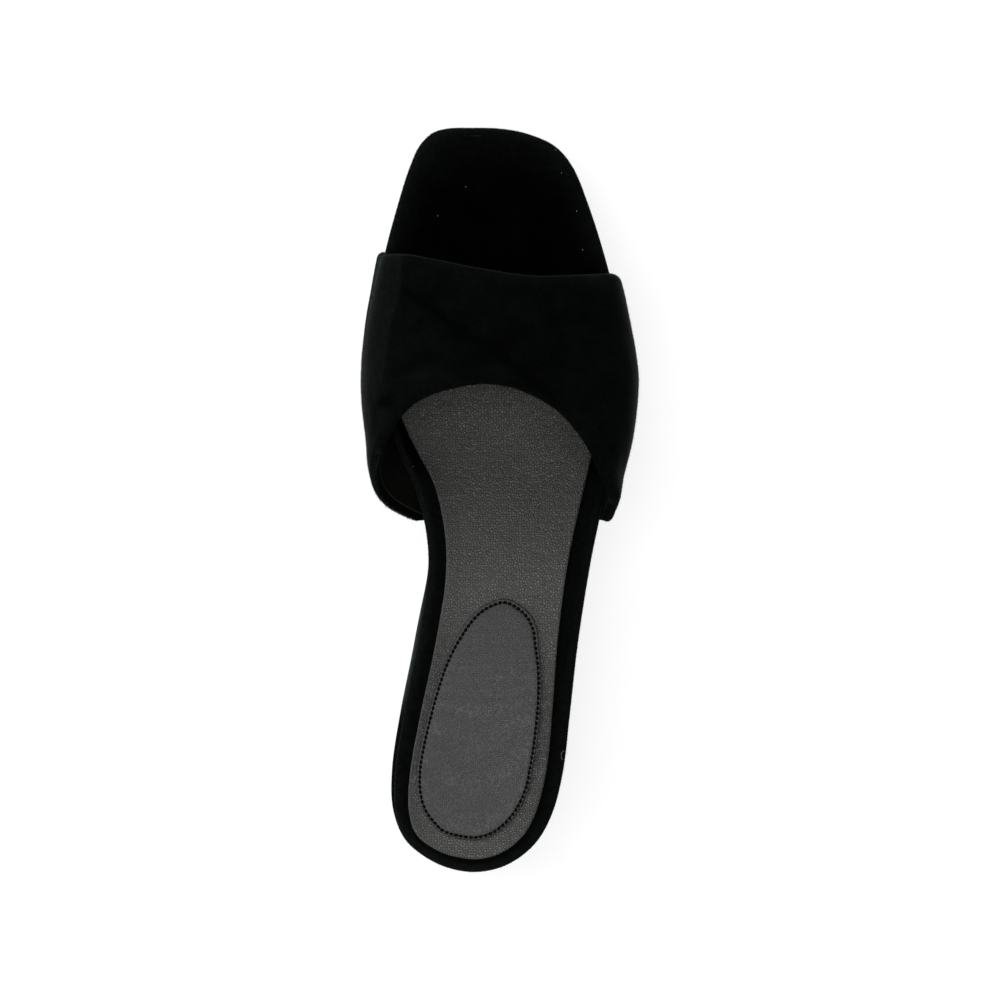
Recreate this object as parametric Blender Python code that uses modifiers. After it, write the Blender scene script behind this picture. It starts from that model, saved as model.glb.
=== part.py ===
"""A right platform wedge mule: outsole, wrapped wedge platform, wrapped footbed, sock, heel pad and band.

+Y runs to the toe, +Z is up, and the inner (medial) side of the foot is at -X. Lengths are metres.
The origin is the middle of the shoe's footprint, on the floor.
"""

import bisect
import math

import bmesh
import bpy
from mathutils import Vector

COLLECTION = "platform_wedge_mule"

SHOE_LENGTH = 0.238
BALL_WIDTH = 0.078
WAIST_WIDTH = 0.052
HEEL_WIDTH = 0.0533
TOE_WIDTH = 0.053

FOREFOOT_HEIGHT = 0.032
HEEL_HEIGHT = 0.064
TOE_SPRING = 0.006
SOLE_TOE_SPRING = 0.009
WAIST_LIFT = 0.0016
HEEL_DISH = 0.0014

OUTSOLE_THICKNESS = 0.0032
OUTSOLE_INSET = 0.0008
OUTSOLE_EDGE = 0.0006
FOOTBED_THICKNESS = 0.0052
FOOTBED_EDGE = 0.0026
PLATFORM_EDGE = 0.0016
WEDGE_REVEAL = 0.0012
WALL_INSET = 0.0028
WALL_HOLLOW = 0.0006
HEEL_RAKE = 0.006
TOE_RAKE = 0.007

SOCK_THICKNESS = 0.0013
SOCK_MARGIN = 0.0056
SOCK_FRONT = 0.725
SOCK_FRONT_BOW = 0.012
PAD_THICKNESS = 0.0012
PAD_WIDTH = 0.0363
LEATHER_EDGE = 0.0005

BAND_WALL = 0.0032
BAND_EDGE = 0.0012
BAND_FLARE = 0.0120
INSTEP_HEIGHT = 0.045
LASTING_MARGIN = 0.008
CLEARANCE = 0.0003

# How far to both sides of a place the edge's direction and the footbed's slope are taken.
DIRECTION_REACH = 0.004
SLOPE_REACH = 0.003

STATIONS = 38
PAD_STATIONS = 20
WALL_COLUMNS = 34
BAND_ROWS = 14

# Each outline row: place, share of the length from heel to toe, the inner and the outer edge as
# shares of the width that the row follows, and that width.
FOOTBED_OUTLINE = (
    ("heel back", 0.000, -0.156, -0.156, HEEL_WIDTH),
    ("heel round", 0.006, -0.315, 0.000, HEEL_WIDTH),
    ("heel round", 0.021, -0.453, 0.126, HEEL_WIDTH),
    ("heel corner", 0.044, -0.567, 0.231, HEEL_WIDTH),
    ("heel side", 0.081, -0.626, 0.317, HEEL_WIDTH),
    ("heel widest", 0.135, -0.627, 0.378, HEEL_WIDTH),
    ("heel breast", 0.216, -0.573, 0.421, HEEL_WIDTH),
    ("waist back", 0.310, -0.505, 0.481, WAIST_WIDTH),
    ("waist", 0.418, -0.440, 0.560, WAIST_WIDTH),
    ("waist front", 0.499, -0.498, 0.635, WAIST_WIDTH),
    ("ball back", 0.579, -0.430, 0.472, BALL_WIDTH),
    ("ball", 0.660, -0.499, 0.498, BALL_WIDTH),
    ("ball front", 0.741, -0.507, 0.485, BALL_WIDTH),
    ("toe root", 0.822, -0.476, 0.432, BALL_WIDTH),
    ("toes", 0.902, -0.610, 0.525, TOE_WIDTH),
    ("toe corner", 0.950, -0.540, 0.432, TOE_WIDTH),
    ("toe corner", 0.976, -0.485, 0.328, TOE_WIDTH),
    ("toe front", 0.993, -0.408, 0.151, TOE_WIDTH),
    ("toe front", 0.999, -0.317, -0.003, TOE_WIDTH),
    ("toe tip", 1.000, -0.166, -0.166, TOE_WIDTH),
)

# The footbed's rise: share of the length, share of the difference of heel and forefoot height.
FOOTBED_RISE = (
    (0.00, 1.000),
    (0.12, 0.985),
    (0.24, 0.900),
    (0.36, 0.680),
    (0.48, 0.400),
    (0.58, 0.155),
    (0.67, 0.020),
    (0.76, 0.000),
    (1.00, 0.000),
)

# The wedge's side: share of the length, reveal past the footbed at the inner and the outer side as
# shares of WEDGE_REVEAL, and inset of its foot at both sides as shares of WALL_INSET.
WEDGE_SIDE = (
    (0.00, 0.00, 0.00, 0.60, 0.60),
    (0.04, 0.10, 0.00, 0.60, 0.80),
    (0.12, 0.90, 0.00, 0.70, 1.00),
    (0.25, 1.00, 0.00, 0.30, 0.80),
    (0.35, 0.75, 0.00, 0.10, 0.60),
    (0.42, 0.00, 0.00, 0.20, 0.60),
    (0.55, 0.10, 0.30, 0.70, 0.90),
    (0.75, 0.40, 0.40, 1.00, 1.00),
    (0.92, 0.00, 0.00, 1.00, 1.00),
    (1.00, 0.00, 0.00, 1.00, 1.00),
)

# The sock's distance in from the footbed's edge: share of the length, then the inner and the outer
# side as shares of SOCK_MARGIN.
SOCK_INSET = (
    (0.00, 0.74, 0.74),
    (0.03, 0.66, 0.80),
    (0.09, 0.78, 0.92),
    (0.20, 0.92, 1.00),
    (0.32, 1.02, 1.18),
    (0.42, 1.03, 1.28),
    (0.52, 1.16, 1.20),
    (0.56, 1.04, 1.13),
    (0.61, 0.88, 1.05),
    (0.75, 0.80, 1.00),
)

# The heel pad's outline: share of the way from its back to its front, then its inner and outer edge
# as shares of PAD_WIDTH. Its ends are given as shares of HEEL_WIDTH and of the shoe's length.
PAD_OUTLINE = (
    (0.000, 0.000, 0.000),
    (0.010, -0.230, 0.105),
    (0.040, -0.330, 0.225),
    (0.090, -0.435, 0.325),
    (0.160, -0.502, 0.405),
    (0.250, -0.535, 0.456),
    (0.340, -0.535, 0.463),
    (0.450, -0.520, 0.463),
    (0.580, -0.489, 0.447),
    (0.700, -0.444, 0.415),
    (0.820, -0.368, 0.353),
    (0.910, -0.275, 0.298),
    (0.965, -0.165, 0.195),
    (1.000, 0.000, 0.000),
)
PAD_BACK = (-0.191, 0.0435)
PAD_FRONT = (0.036, 0.3670)

# The band's cross-sections: share of the shoe's length, how far it stands out from the footbed at the
# inner and the outer side as shares of BAND_FLARE, then the height of its crown and of its widest
# place over the footbed as shares of INSTEP_HEIGHT.
BAND_SECTIONS = (
    (0.450, 0.86, 0.34, 0.66, 0.30),
    (0.500, 1.10, 0.43, 0.76, 0.31),
    (0.540, 1.04, 0.46, 0.84, 0.30),
    (0.580, 0.80, 0.49, 0.92, 0.28),
    (0.660, 0.46, 0.46, 1.00, 0.25),
    (0.740, 0.23, 0.32, 0.85, 0.22),
    (0.835, 0.10, 0.30, 0.66, 0.19),
)
CROWN_SHARE = 0.42
CROWN_SQUARENESS = 2.4

# The band's two edges: share of the way round from the inner base (-1) over the crown (0) to the
# outer base (1), then the share of the shoe's length.
BAND_FRONT_EDGE = (
    (-1.00, 0.820),
    (-0.75, 0.829),
    (-0.50, 0.832),
    (-0.25, 0.824),
    (0.00, 0.813),
    (0.25, 0.803),
    (0.50, 0.804),
    (0.70, 0.806),
    (0.85, 0.803),
    (1.00, 0.796),
)
BAND_BACK_EDGE = (
    (-1.00, 0.4695),
    (-0.90, 0.4795),
    (-0.80, 0.4925),
    (-0.70, 0.5090),
    (-0.60, 0.5290),
    (-0.50, 0.5670),
    (-0.40, 0.6035),
    (-0.25, 0.6360),
    (0.00, 0.6560),
    (0.15, 0.6490),
    (0.30, 0.6220),
    (0.40, 0.5925),
    (0.50, 0.5565),
    (0.60, 0.5220),
    (0.70, 0.5000),
    (0.80, 0.4915),
    (0.90, 0.4815),
    (1.00, 0.4700),
)


def smooth_value(rows, x, column):
    """A cubic through the rows' values in one column, at x in the rows' first column."""
    xs = [row[0] for row in rows]
    ys = [row[column] for row in rows]
    x = min(max(x, xs[0]), xs[-1])
    i = min(max(bisect.bisect_right(xs, x) - 1, 0), len(xs) - 2)

    def slope(k):
        low = max(k - 1, 0)
        high = min(k + 1, len(xs) - 1)
        return (ys[high] - ys[low]) / (xs[high] - xs[low])

    span = xs[i + 1] - xs[i]
    t = (x - xs[i]) / span
    rise = ys[i + 1] - ys[i]
    start = slope(i) * span
    end = slope(i + 1) * span
    return ys[i] + t * start + t * t * (3 * rise - 2 * start - end) + t**3 * (start + end - 2 * rise)


def spline(points, steps):
    """A closed centripetal Catmull-Rom curve through the points, with some steps for each stretch."""
    count = len(points)
    curve = []
    for i in range(count):
        p = [points[(i + k) % count] for k in (-1, 0, 1, 2)]
        knots = [0.0]
        for a, b in zip(p, p[1:]):
            knots.append(knots[-1] + math.sqrt((b - a).length))
        for step in range(steps):
            t = knots[1] + (knots[2] - knots[1]) * step / steps
            level = p
            for width in (1, 2):
                level = [
                    level[k].lerp(level[k + 1], (t - knots[k]) / (knots[k + width] - knots[k]))
                    for k in range(4 - width)
                ]
            curve.append(level[0].lerp(level[1], (t - knots[1]) / (knots[2] - knots[1])))
    return curve


def two_sides(inner, outer):
    """Fine curves up both sides of a plan outline; the sides share their first and last points."""
    loop = spline(inner + outer[-2:0:-1], 10)
    split = (len(inner) - 1) * 10
    return loop[: split + 1], [loop[0]] + loop[: split - 1 : -1]


def arc_lengths(path):
    lengths = [0.0]
    for a, b in zip(path, path[1:]):
        lengths.append(lengths[-1] + (b - a).length)
    return lengths


def at_shares(path, shares):
    """Points at shares of the arc length of a fine polyline."""
    lengths = arc_lengths(path)
    found = []
    for share in shares:
        target = share * lengths[-1]
        i = min(max(bisect.bisect_right(lengths, target) - 1, 0), len(path) - 2)
        t = (target - lengths[i]) / (lengths[i + 1] - lengths[i])
        found.append(path[i].lerp(path[i + 1], min(t, 1.0)))
    return found


def end_weighted_shares(count, weight=0.42):
    """Shares from 0 to 1 that lie closer together at both ends."""
    turns = [i / count for i in range(count + 1)]
    return [t - weight * math.sin(2 * math.pi * t) / (2 * math.pi) for t in turns]


def length_at(along):
    """Y of a share of the shoe's length, from the heel's back to the toe's tip."""
    return (along - 0.5) * SHOE_LENGTH


def along_at(y):
    return y / SHOE_LENGTH + 0.5


def footbed_sides():
    """The footbed's plan as two fine curves from the heel's back to the toe's tip."""
    inner = [Vector((a * width, length_at(along))) for _, along, a, _, width in FOOTBED_OUTLINE]
    outer = [Vector((b * width, length_at(along))) for _, along, _, b, width in FOOTBED_OUTLINE]
    return two_sides(inner, outer)


INNER_SIDE, OUTER_SIDE = footbed_sides()


def edge_x(side, y):
    """X of the footbed's edge at y, on one of its two sides."""
    ys = [p.y for p in side]
    i = min(max(bisect.bisect_right(ys, y) - 1, 0), len(side) - 2)
    a, b = side[i], side[i + 1]
    return a.x + (b.x - a.x) * (y - a.y) / (b.y - a.y)


def edge_normal(side, y, reach=DIRECTION_REACH):
    """The level unit vector that points out of the footbed's edge at y, on one of its two sides."""
    slope = (edge_x(side, y + reach) - edge_x(side, y - reach)) / (2 * reach)
    out = Vector((1.0, -slope, 0.0)).normalized()
    return -out if side is INNER_SIDE else out


def footbed_top(x, y):
    """Height of the footbed's top over the floor."""
    along = along_at(y)
    top = FOREFOOT_HEIGHT + (HEEL_HEIGHT - FOREFOOT_HEIGHT) * smooth_value(FOOTBED_RISE, along, 1)
    top += TOE_SPRING * max((along - 0.74) / 0.26, 0.0) ** 2
    seat = math.exp(-(((along - 0.12) / 0.11) ** 2))
    across = (x + 0.16 * HEEL_WIDTH) / (0.5 * HEEL_WIDTH)
    return top - HEEL_DISH * seat * math.exp(-1.6 * across**2)


def slope_stretch(y, reach=SLOPE_REACH):
    """How much taller a layer that follows the footbed is along Z than square to itself, at y."""
    slope = (footbed_top(0, y + reach) - footbed_top(0, y - reach)) / (2 * reach)
    return math.sqrt(1 + slope * slope)


def sole_bottom(x, y):
    """Height of the outsole's underside: flat under heel and ball, lifted at the waist and the toe."""
    along = along_at(y)
    height = SOLE_TOE_SPRING * max((along - 0.76) / 0.24, 0.0) ** 2
    if 0.30 < along < 0.56:
        height += WAIST_LIFT * math.sin(math.pi * (along - 0.30) / 0.26) ** 2
    return height


def normals(points):
    """Unit normals that point out of a closed plan loop."""
    count = len(points)
    area = sum(points[i - 1].x * points[i].y - points[i].x * points[i - 1].y for i in range(count))
    turn = 1 if area > 0 else -1
    found = []
    for i in range(count):
        tangent = (points[(i + 1) % count] - points[i - 1]).normalized()
        found.append(Vector((tangent.y, -tangent.x)) * turn)
    return found


def grown(points, amounts):
    """A plan loop moved out by an amount for each of its points."""
    return [p + n * d for p, n, d in zip(points, normals(points), amounts)]


def shrunk(points, inset):
    return grown(points, [-inset] * len(points))


def raised(points, height):
    """Plan points with their heights from a function of x and y."""
    return [Vector((p.x, p.y, height(p.x, p.y))) for p in points]


def loop_of(inner, outer):
    """One closed loop: up the inner side, down the outer side."""
    return inner + outer[-2:0:-1]


def side_shares(side, extra):
    """Stations along one side, with extra ones at the given Y values."""
    shares = end_weighted_shares(STATIONS)
    lengths = arc_lengths(side)
    for y in extra:
        i = next(k for k, p in enumerate(side) if p.y >= y)
        t = (y - side[i - 1].y) / (side[i].y - side[i - 1].y)
        shares.append((lengths[i - 1] + t * (lengths[i] - lengths[i - 1])) / lengths[-1])
    return sorted(shares)


def footbed_loop(inner_extra=(), outer_extra=()):
    return loop_of(
        at_shares(INNER_SIDE, side_shares(INNER_SIDE, inner_extra)),
        at_shares(OUTER_SIDE, side_shares(OUTER_SIDE, outer_extra)),
    )


def side_values(loop, rows, inner_column, outer_column):
    """A table's value for each point of a loop, from the column of the side that it is on."""
    half = len(loop) // 2
    columns = [inner_column if i <= half else outer_column for i in range(len(loop))]
    return [smooth_value(rows, along_at(p.y), column) for p, column in zip(loop, columns)]


def fill_cap(bm, loop, height, across):
    """Closes a loop with rows from its inner to its outer side, at the height function's height."""
    half = len(loop) // 2
    rows = []
    for i in range(1, half):
        row = [loop[i]]
        for k in range(1, across):
            p = loop[i].co.lerp(loop[-i].co, k / across)
            row.append(bm.verts.new((p.x, p.y, height(p.x, p.y))))
        rows.append(row + [loop[-i]])
    for a, b in zip(rows, rows[1:]):
        for k in range(across):
            bm.faces.new((a[k], a[k + 1], b[k + 1], b[k]))
    for end, row in ((loop[0], rows[0]), (loop[half], rows[-1])):
        for k in range(across):
            bm.faces.new((end, row[k], row[k + 1]))


def stacked_solid(name, rings, floor, roof, across, material):
    """A loft through rings of equal count, closed below at floor's height and above at roof's."""
    bm = bmesh.new()
    loops = [[bm.verts.new(co) for co in ring] for ring in rings]
    count = len(loops[0])
    for low, high in zip(loops, loops[1:]):
        for i in range(count):
            j = (i + 1) % count
            bm.faces.new((low[i], low[j], high[j], high[i]))
    fill_cap(bm, loops[0], floor, across)
    fill_cap(bm, loops[-1], roof, across)
    bmesh.ops.recalc_face_normals(bm, faces=bm.faces)
    return finished(name, bm, material)


def finished(name, bm, material):
    """The bmesh as an object of the shoe, shaded smooth but for its sharp edges."""
    mesh = bpy.data.meshes.new(name)
    bm.to_mesh(mesh)
    bm.free()
    mesh.shade_smooth()
    mesh.set_sharp_from_angle(angle=math.radians(40))
    mesh.materials.append(material)
    thing = bpy.data.objects.new(name, mesh)
    bpy.data.collections[COLLECTION].objects.link(thing)
    return thing


def foot_plan(loop, inset):
    """The plan of the wedge's foot, moved in by an inset: the wall rakes in at the heel and the toe."""
    amounts = [-WALL_INSET * v - inset for v in side_values(loop, WEDGE_SIDE, 3, 4)]
    found = []
    for p in grown(loop, amounts):
        along = along_at(p.y)
        pull = HEEL_RAKE * max((0.25 - along) / 0.25, 0.0) ** 2
        pull -= TOE_RAKE * max((along - 0.75) / 0.25, 0.0) ** 2
        found.append(Vector((p.x, p.y + pull)))
    return found


def outsole(material):
    """The rubber sole: flat under the heel and the ball, with its lower edge eased."""
    loop = footbed_loop()
    plan = foot_plan(loop, OUTSOLE_INSET)

    def top(x, y):
        return sole_bottom(x, y) + OUTSOLE_THICKNESS

    rings = [
        raised(foot_plan(loop, OUTSOLE_INSET + OUTSOLE_EDGE), sole_bottom),
        raised(plan, lambda x, y: sole_bottom(x, y) + OUTSOLE_EDGE),
        raised(plan, top),
    ]
    return stacked_solid("outsole", rings, sole_bottom, top, 4, material)


def band_base_range(around):
    """The Y range of the band's base on the inner (-1) or the outer (1) side, back first."""
    return (
        length_at(smooth_value(BAND_BACK_EDGE, around, 1)),
        length_at(smooth_value(BAND_FRONT_EDGE, around, 1)),
    )


def platform(material):
    """The wedge; its top has a pocket along each side that takes the band's lasted edge."""
    ramp = 2 * CLEARANCE
    ranges = [band_base_range(-1.0), band_base_range(1.0)]
    extras = [(back - 2 * ramp, back - ramp, front + ramp, front + 2 * ramp) for back, front in ranges]
    loop = footbed_loop(*extras)
    half = len(loop) // 2
    pocketed = []
    for i, p in enumerate(loop):
        back, front = ranges[0 if i <= half else 1]
        pocketed.append(back - 1.5 * ramp < p.y < front + 1.5 * ramp)

    def sole_top(x, y):
        return sole_bottom(x, y) + OUTSOLE_THICKNESS + CLEARANCE

    def top(x, y):
        return footbed_top(x, y) - FOOTBED_THICKNESS - CLEARANCE * slope_stretch(y)

    def pocket_floor(x, y):
        return footbed_top(x, y) - FOOTBED_THICKNESS - (2 * CLEARANCE + BAND_WALL) * slope_stretch(y)

    def upper_ring(amounts, drop, cut=True):
        heights = [pocket_floor if cut and pocket else top for pocket in pocketed]
        return [
            Vector((p.x, p.y, height(p.x, p.y) - drop))
            for p, height in zip(grown(loop, amounts), heights)
        ]

    reveal = [WEDGE_REVEAL * v for v in side_values(loop, WEDGE_SIDE, 1, 2)]
    lower = raised(foot_plan(loop, 0.0), lambda x, y: sole_top(x, y) + PLATFORM_EDGE)
    rim = upper_ring(reveal, PLATFORM_EDGE, cut=False)
    rings = [
        raised(foot_plan(loop, PLATFORM_EDGE), sole_top),
        raised(foot_plan(loop, 0.3 * PLATFORM_EDGE), lambda x, y: sole_top(x, y) + 0.3 * PLATFORM_EDGE),
        lower,
    ]
    for share in (0.35, 0.7):
        wall = [a.lerp(b, share) for a, b in zip(lower, rim)]
        outward = normals([p.to_2d() for p in wall])
        rings.append([p - n.to_3d() * WALL_HOLLOW for p, n in zip(wall, outward)])
    rings.append(upper_ring(reveal, PLATFORM_EDGE))
    rings.append(upper_ring([r - 0.3 * PLATFORM_EDGE for r in reveal], 0.3 * PLATFORM_EDGE))
    rings.append(upper_ring([r - PLATFORM_EDGE for r in reveal], 0.0))
    pocket_width = LASTING_MARGIN + 2 * CLEARANCE
    rings.append(upper_ring([-pocket_width] * len(loop), 0.0))
    rings.append(raised(shrunk(loop, pocket_width + CLEARANCE), top))
    return stacked_solid("platform", rings, sole_top, top, 5, material)


def footbed(material):
    """The board that the velvet wraps, with a rounded edge all round."""
    loop = footbed_loop()
    steps = 6
    rings = []
    for step in range(steps + 1):
        angle = math.pi * (step / steps - 0.5)
        drop = 0.5 * FOOTBED_THICKNESS * (1 - math.sin(angle))
        plan = shrunk(loop, FOOTBED_EDGE * (1 - math.cos(angle)))
        rings.append(raised(plan, lambda x, y: footbed_top(x, y) - drop))
    return stacked_solid(
        "footbed", rings, lambda x, y: footbed_top(x, y) - FOOTBED_THICKNESS, footbed_top, 6, material
    )


def leather_layer(name, loop, base, thickness, across, material):
    """A layer of leather on top of the footbed, with eased edges; base is its lift off the footbed."""

    def lifted(lift):
        return lambda x, y: footbed_top(x, y) + lift * slope_stretch(y)

    low, high = lifted(base), lifted(base + thickness)
    rings = [
        raised(loop, low),
        raised(loop, lifted(base + thickness - LEATHER_EDGE)),
        raised(shrunk(loop, LEATHER_EDGE), high),
    ]
    return stacked_solid(name, rings, low, high, across, material)


def sock(material):
    """The leather sock: three quarters long, with a bowed front edge under the band."""
    loop = footbed_loop()
    plan = grown(loop, [-SOCK_MARGIN * v for v in side_values(loop, SOCK_INSET, 1, 2)])
    half = len(plan) // 2
    front = length_at(SOCK_FRONT)
    sides = [
        [p for p in plan[: half + 1] if p.y < front - SOCK_MARGIN],
        [plan[0]] + [p for p in plan[:half:-1] if p.y < front - SOCK_MARGIN],
    ]
    tip = sides[0][-1].lerp(sides[1][-1], 0.5)
    tip.y = front + SOCK_FRONT_BOW
    for side in sides:
        corner = side[-1].lerp(tip, 0.04)
        shoulder = side[-1].lerp(tip, 0.45)
        corner.y = front
        shoulder.y = front + 0.8 * SOCK_FRONT_BOW
        side += [corner, shoulder, tip]
    count = min(len(side) for side in sides)
    inner, outer = two_sides(*(side[:1] + side[len(side) - count + 1 :] for side in sides))
    shares = end_weighted_shares(STATIONS - 6, 0.3)
    loop = loop_of(at_shares(inner, shares), at_shares(outer, shares))
    return leather_layer("sock", loop, CLEARANCE, SOCK_THICKNESS, 6, material)


def heel_pad(material):
    """The stitched pad under the heel, on top of the sock."""
    back = Vector((PAD_BACK[0] * HEEL_WIDTH, length_at(PAD_BACK[1])))
    front = Vector((PAD_FRONT[0] * HEEL_WIDTH, length_at(PAD_FRONT[1])))
    forward = (front - back).normalized()
    across = Vector((forward.y, -forward.x)) * PAD_WIDTH
    inner = [back.lerp(front, t) + across * a for t, a, _ in PAD_OUTLINE]
    outer = [back.lerp(front, t) + across * b for t, _, b in PAD_OUTLINE]
    inner, outer = two_sides(inner, outer)
    shares = end_weighted_shares(PAD_STATIONS)
    loop = loop_of(at_shares(inner, shares), at_shares(outer, shares))
    base = 2 * CLEARANCE + SOCK_THICKNESS
    return leather_layer("heel_pad", loop, base, PAD_THICKNESS, 4, material)


def lean(around, y):
    """The angle at which the band leaves the footbed's edge: lower where it flares more."""
    flare = smooth_value(BAND_SECTIONS, along_at(y), 1 if around < 0 else 2)
    return math.radians(8 - 55 * min(max(flare - 0.25, 0.0), 1.0))


def base_point(around, y, reach, lift):
    """A point out from the footbed's edge by reach, and up by lift from the middle of its edge."""
    side = INNER_SIDE if around < 0 else OUTER_SIDE
    point = Vector((edge_x(side, y), y, 0.0)) + edge_normal(side, y) * reach
    point.z = footbed_top(point.x, point.y) - 0.5 * FOOTBED_THICKNESS + lift
    return point


def turn_point(around, y, share):
    """A point on the turn, from underneath the footbed (0) to where the band's wall starts (1)."""
    under = -0.5 * math.pi
    angle = under + (lean(around, y) - under) * share
    across = (FOOTBED_EDGE + 2 * CLEARANCE + BAND_WALL) * math.cos(angle) - FOOTBED_EDGE
    return base_point(around, y, across, band_drop(y) * math.sin(angle))


def band_drop(y):
    """How far the band's outside lies below the middle of the footbed's edge where it is lasted."""
    return 0.5 * FOOTBED_THICKNESS + (CLEARANCE + BAND_WALL) * slope_stretch(y)


def lasted_point(around, y, share):
    """A point under the footbed, from the end of the lasted edge (0) to the turn (1)."""
    return base_point(around, y, -LASTING_MARGIN + (LASTING_MARGIN - FOOTBED_EDGE) * share, -band_drop(y))


def wall_curve(around, y):
    """The band's outside at y as a fine polyline, from the end of its turn up to the crown."""
    along = along_at(y)
    crown = smooth_value(BAND_SECTIONS, along, 3) * INSTEP_HEIGHT
    widest = smooth_value(BAND_SECTIONS, along, 4) * INSTEP_HEIGHT
    left = edge_x(INNER_SIDE, y) - smooth_value(BAND_SECTIONS, along, 1) * BAND_FLARE
    right = edge_x(OUTER_SIDE, y) + smooth_value(BAND_SECTIONS, along, 2) * BAND_FLARE
    start = turn_point(around, y, 1.0)
    leaving = edge_normal(INNER_SIDE if around < 0 else OUTER_SIDE, y) * -math.sin(lean(around, y))
    leaving.z = math.cos(lean(around, y))
    wide = Vector((left if around < 0 else right, y, footbed_top(0, y) + widest))
    crest = Vector((left + CROWN_SHARE * (right - left), y, footbed_top(0, y) + crown))
    reach = 0.42 * (wide - start).length
    a = start + leaving * reach
    b = wide - Vector((0, 0, reach))
    curve = []
    for step in range(16):
        t = step / 16
        curve.append(start * (1 - t) ** 3 + a * 3 * t * (1 - t) ** 2 + b * 3 * t * t * (1 - t) + wide * t**3)
    power = 2 / CROWN_SQUARENESS
    for step in range(41):
        turn = 0.5 * math.pi * step / 40
        x = crest.x + (wide.x - crest.x) * max(math.cos(turn), 0.0) ** power
        curve.append(Vector((x, y, wide.z + (crest.z - wide.z) * math.sin(turn) ** power)))
    return curve


def wall_point(around, y):
    side = -1.0 if around <= 0 else 1.0
    return at_shares(wall_curve(side, y), [1 - abs(around)])[0]


def band_column(index):
    """One column of the band: its share of the way round, and its points as a function of y."""
    lasted = [(lasted_point, 0.0), (lasted_point, 0.5)] + [(turn_point, k / 5) for k in range(5)]
    last = WALL_COLUMNS + 2 * len(lasted)
    if index < len(lasted) or index > last - len(lasted):
        around = -1.0 if index < len(lasted) else 1.0
        point, share = lasted[min(index, last - index)]
        return around, lambda y: point(around, y, share)
    around = 2 * (index - len(lasted)) / WALL_COLUMNS - 1
    return around, lambda y: wall_point(around, y)


def upper(material):
    """The band: one padded wall that is lasted under the footbed on both sides."""
    bm = bmesh.new()
    columns = []
    for index in range(WALL_COLUMNS + 15):
        around, point = band_column(index)
        back = length_at(smooth_value(BAND_BACK_EDGE, around, 1))
        front = length_at(smooth_value(BAND_FRONT_EDGE, around, 1))
        shares = end_weighted_shares(BAND_ROWS)
        columns.append([bm.verts.new(point(back + (front - back) * v)) for v in shares])
    for a, b in zip(columns, columns[1:]):
        for j in range(BAND_ROWS):
            bm.faces.new((a[j], b[j], b[j + 1], a[j + 1]))
    bmesh.ops.recalc_face_normals(bm, faces=bm.faces)
    thing = finished("upper", bm, material)
    wall = thing.modifiers.new("wall", "SOLIDIFY")
    wall.thickness = BAND_WALL
    wall.offset = -1.0
    wall.use_even_offset = True
    edge = thing.modifiers.new("folded edge", "BEVEL")
    edge.width = BAND_EDGE
    edge.segments = 2
    edge.limit_method = "ANGLE"
    edge.angle_limit = math.radians(60)
    return thing


def make_material(name, colour, roughness):
    material = bpy.data.materials.new(name)
    material.use_nodes = True
    shader = material.node_tree.nodes["Principled BSDF"]
    shader.inputs["Base Color"].default_value = (*colour, 1.0)
    shader.inputs["Roughness"].default_value = roughness
    return material


def main():
    for thing in list(bpy.data.objects):
        bpy.data.objects.remove(thing, do_unlink=True)
    shoe = bpy.data.collections.new(COLLECTION)
    bpy.context.scene.collection.children.link(shoe)
    outsole(make_material("sole_rubber", (0.010, 0.010, 0.010), 0.75))
    platform(make_material("wedge_velvet", (0.004, 0.005, 0.005), 0.90))
    footbed(make_material("footbed_velvet", (0.004, 0.005, 0.005), 0.90))
    sock(make_material("sock_leather", (0.045, 0.045, 0.043), 0.60))
    heel_pad(make_material("pad_leather", (0.075, 0.075, 0.075), 0.55))
    upper(make_material("band_velvet", (0.004, 0.005, 0.005), 0.90))


main()
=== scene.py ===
"""The looks of a right platform wedge mule: velvet band, footbed and wedge, leather sock and heel pad.

+Y runs to the toe, +Z is up, and the inner side of the foot is at -X. Lengths are metres.
"""

import math

import bmesh
import bpy
import numpy as np
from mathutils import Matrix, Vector, noise


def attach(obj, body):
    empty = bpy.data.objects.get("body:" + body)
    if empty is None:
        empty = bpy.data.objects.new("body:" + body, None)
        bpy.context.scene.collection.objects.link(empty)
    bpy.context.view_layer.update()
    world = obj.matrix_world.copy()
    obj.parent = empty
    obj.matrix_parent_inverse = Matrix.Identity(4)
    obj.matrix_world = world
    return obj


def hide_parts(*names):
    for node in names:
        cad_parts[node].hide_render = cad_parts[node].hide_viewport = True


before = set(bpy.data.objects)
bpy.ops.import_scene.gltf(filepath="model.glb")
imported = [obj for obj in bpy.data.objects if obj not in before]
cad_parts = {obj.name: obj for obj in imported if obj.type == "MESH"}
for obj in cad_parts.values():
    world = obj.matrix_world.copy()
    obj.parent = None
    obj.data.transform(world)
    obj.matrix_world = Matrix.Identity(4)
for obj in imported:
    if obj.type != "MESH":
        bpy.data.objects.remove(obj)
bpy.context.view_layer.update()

MM = 0.001

SHOE_LENGTH = 0.238
BALL_WIDTH = 0.078
WAIST_WIDTH = 0.052
HEEL_WIDTH = 0.0533
TOE_WIDTH = 0.053

FOREFOOT_HEIGHT = 0.032
HEEL_HEIGHT = 0.064
TOE_SPRING = 0.006
SOLE_TOE_SPRING = 0.009
WAIST_LIFT = 0.0016
HEEL_DISH = 0.0014

OUTSOLE_THICKNESS = 0.0032
OUTSOLE_INSET = 0.0008
OUTSOLE_EDGE = 0.0006
FOOTBED_THICKNESS = 0.0052
FOOTBED_EDGE = 0.0026
PLATFORM_EDGE = 0.0016
WEDGE_REVEAL = 0.0012
WALL_INSET = 0.0028
WALL_HOLLOW = 0.0006
HEEL_RAKE = 0.006
TOE_RAKE = 0.007

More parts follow.
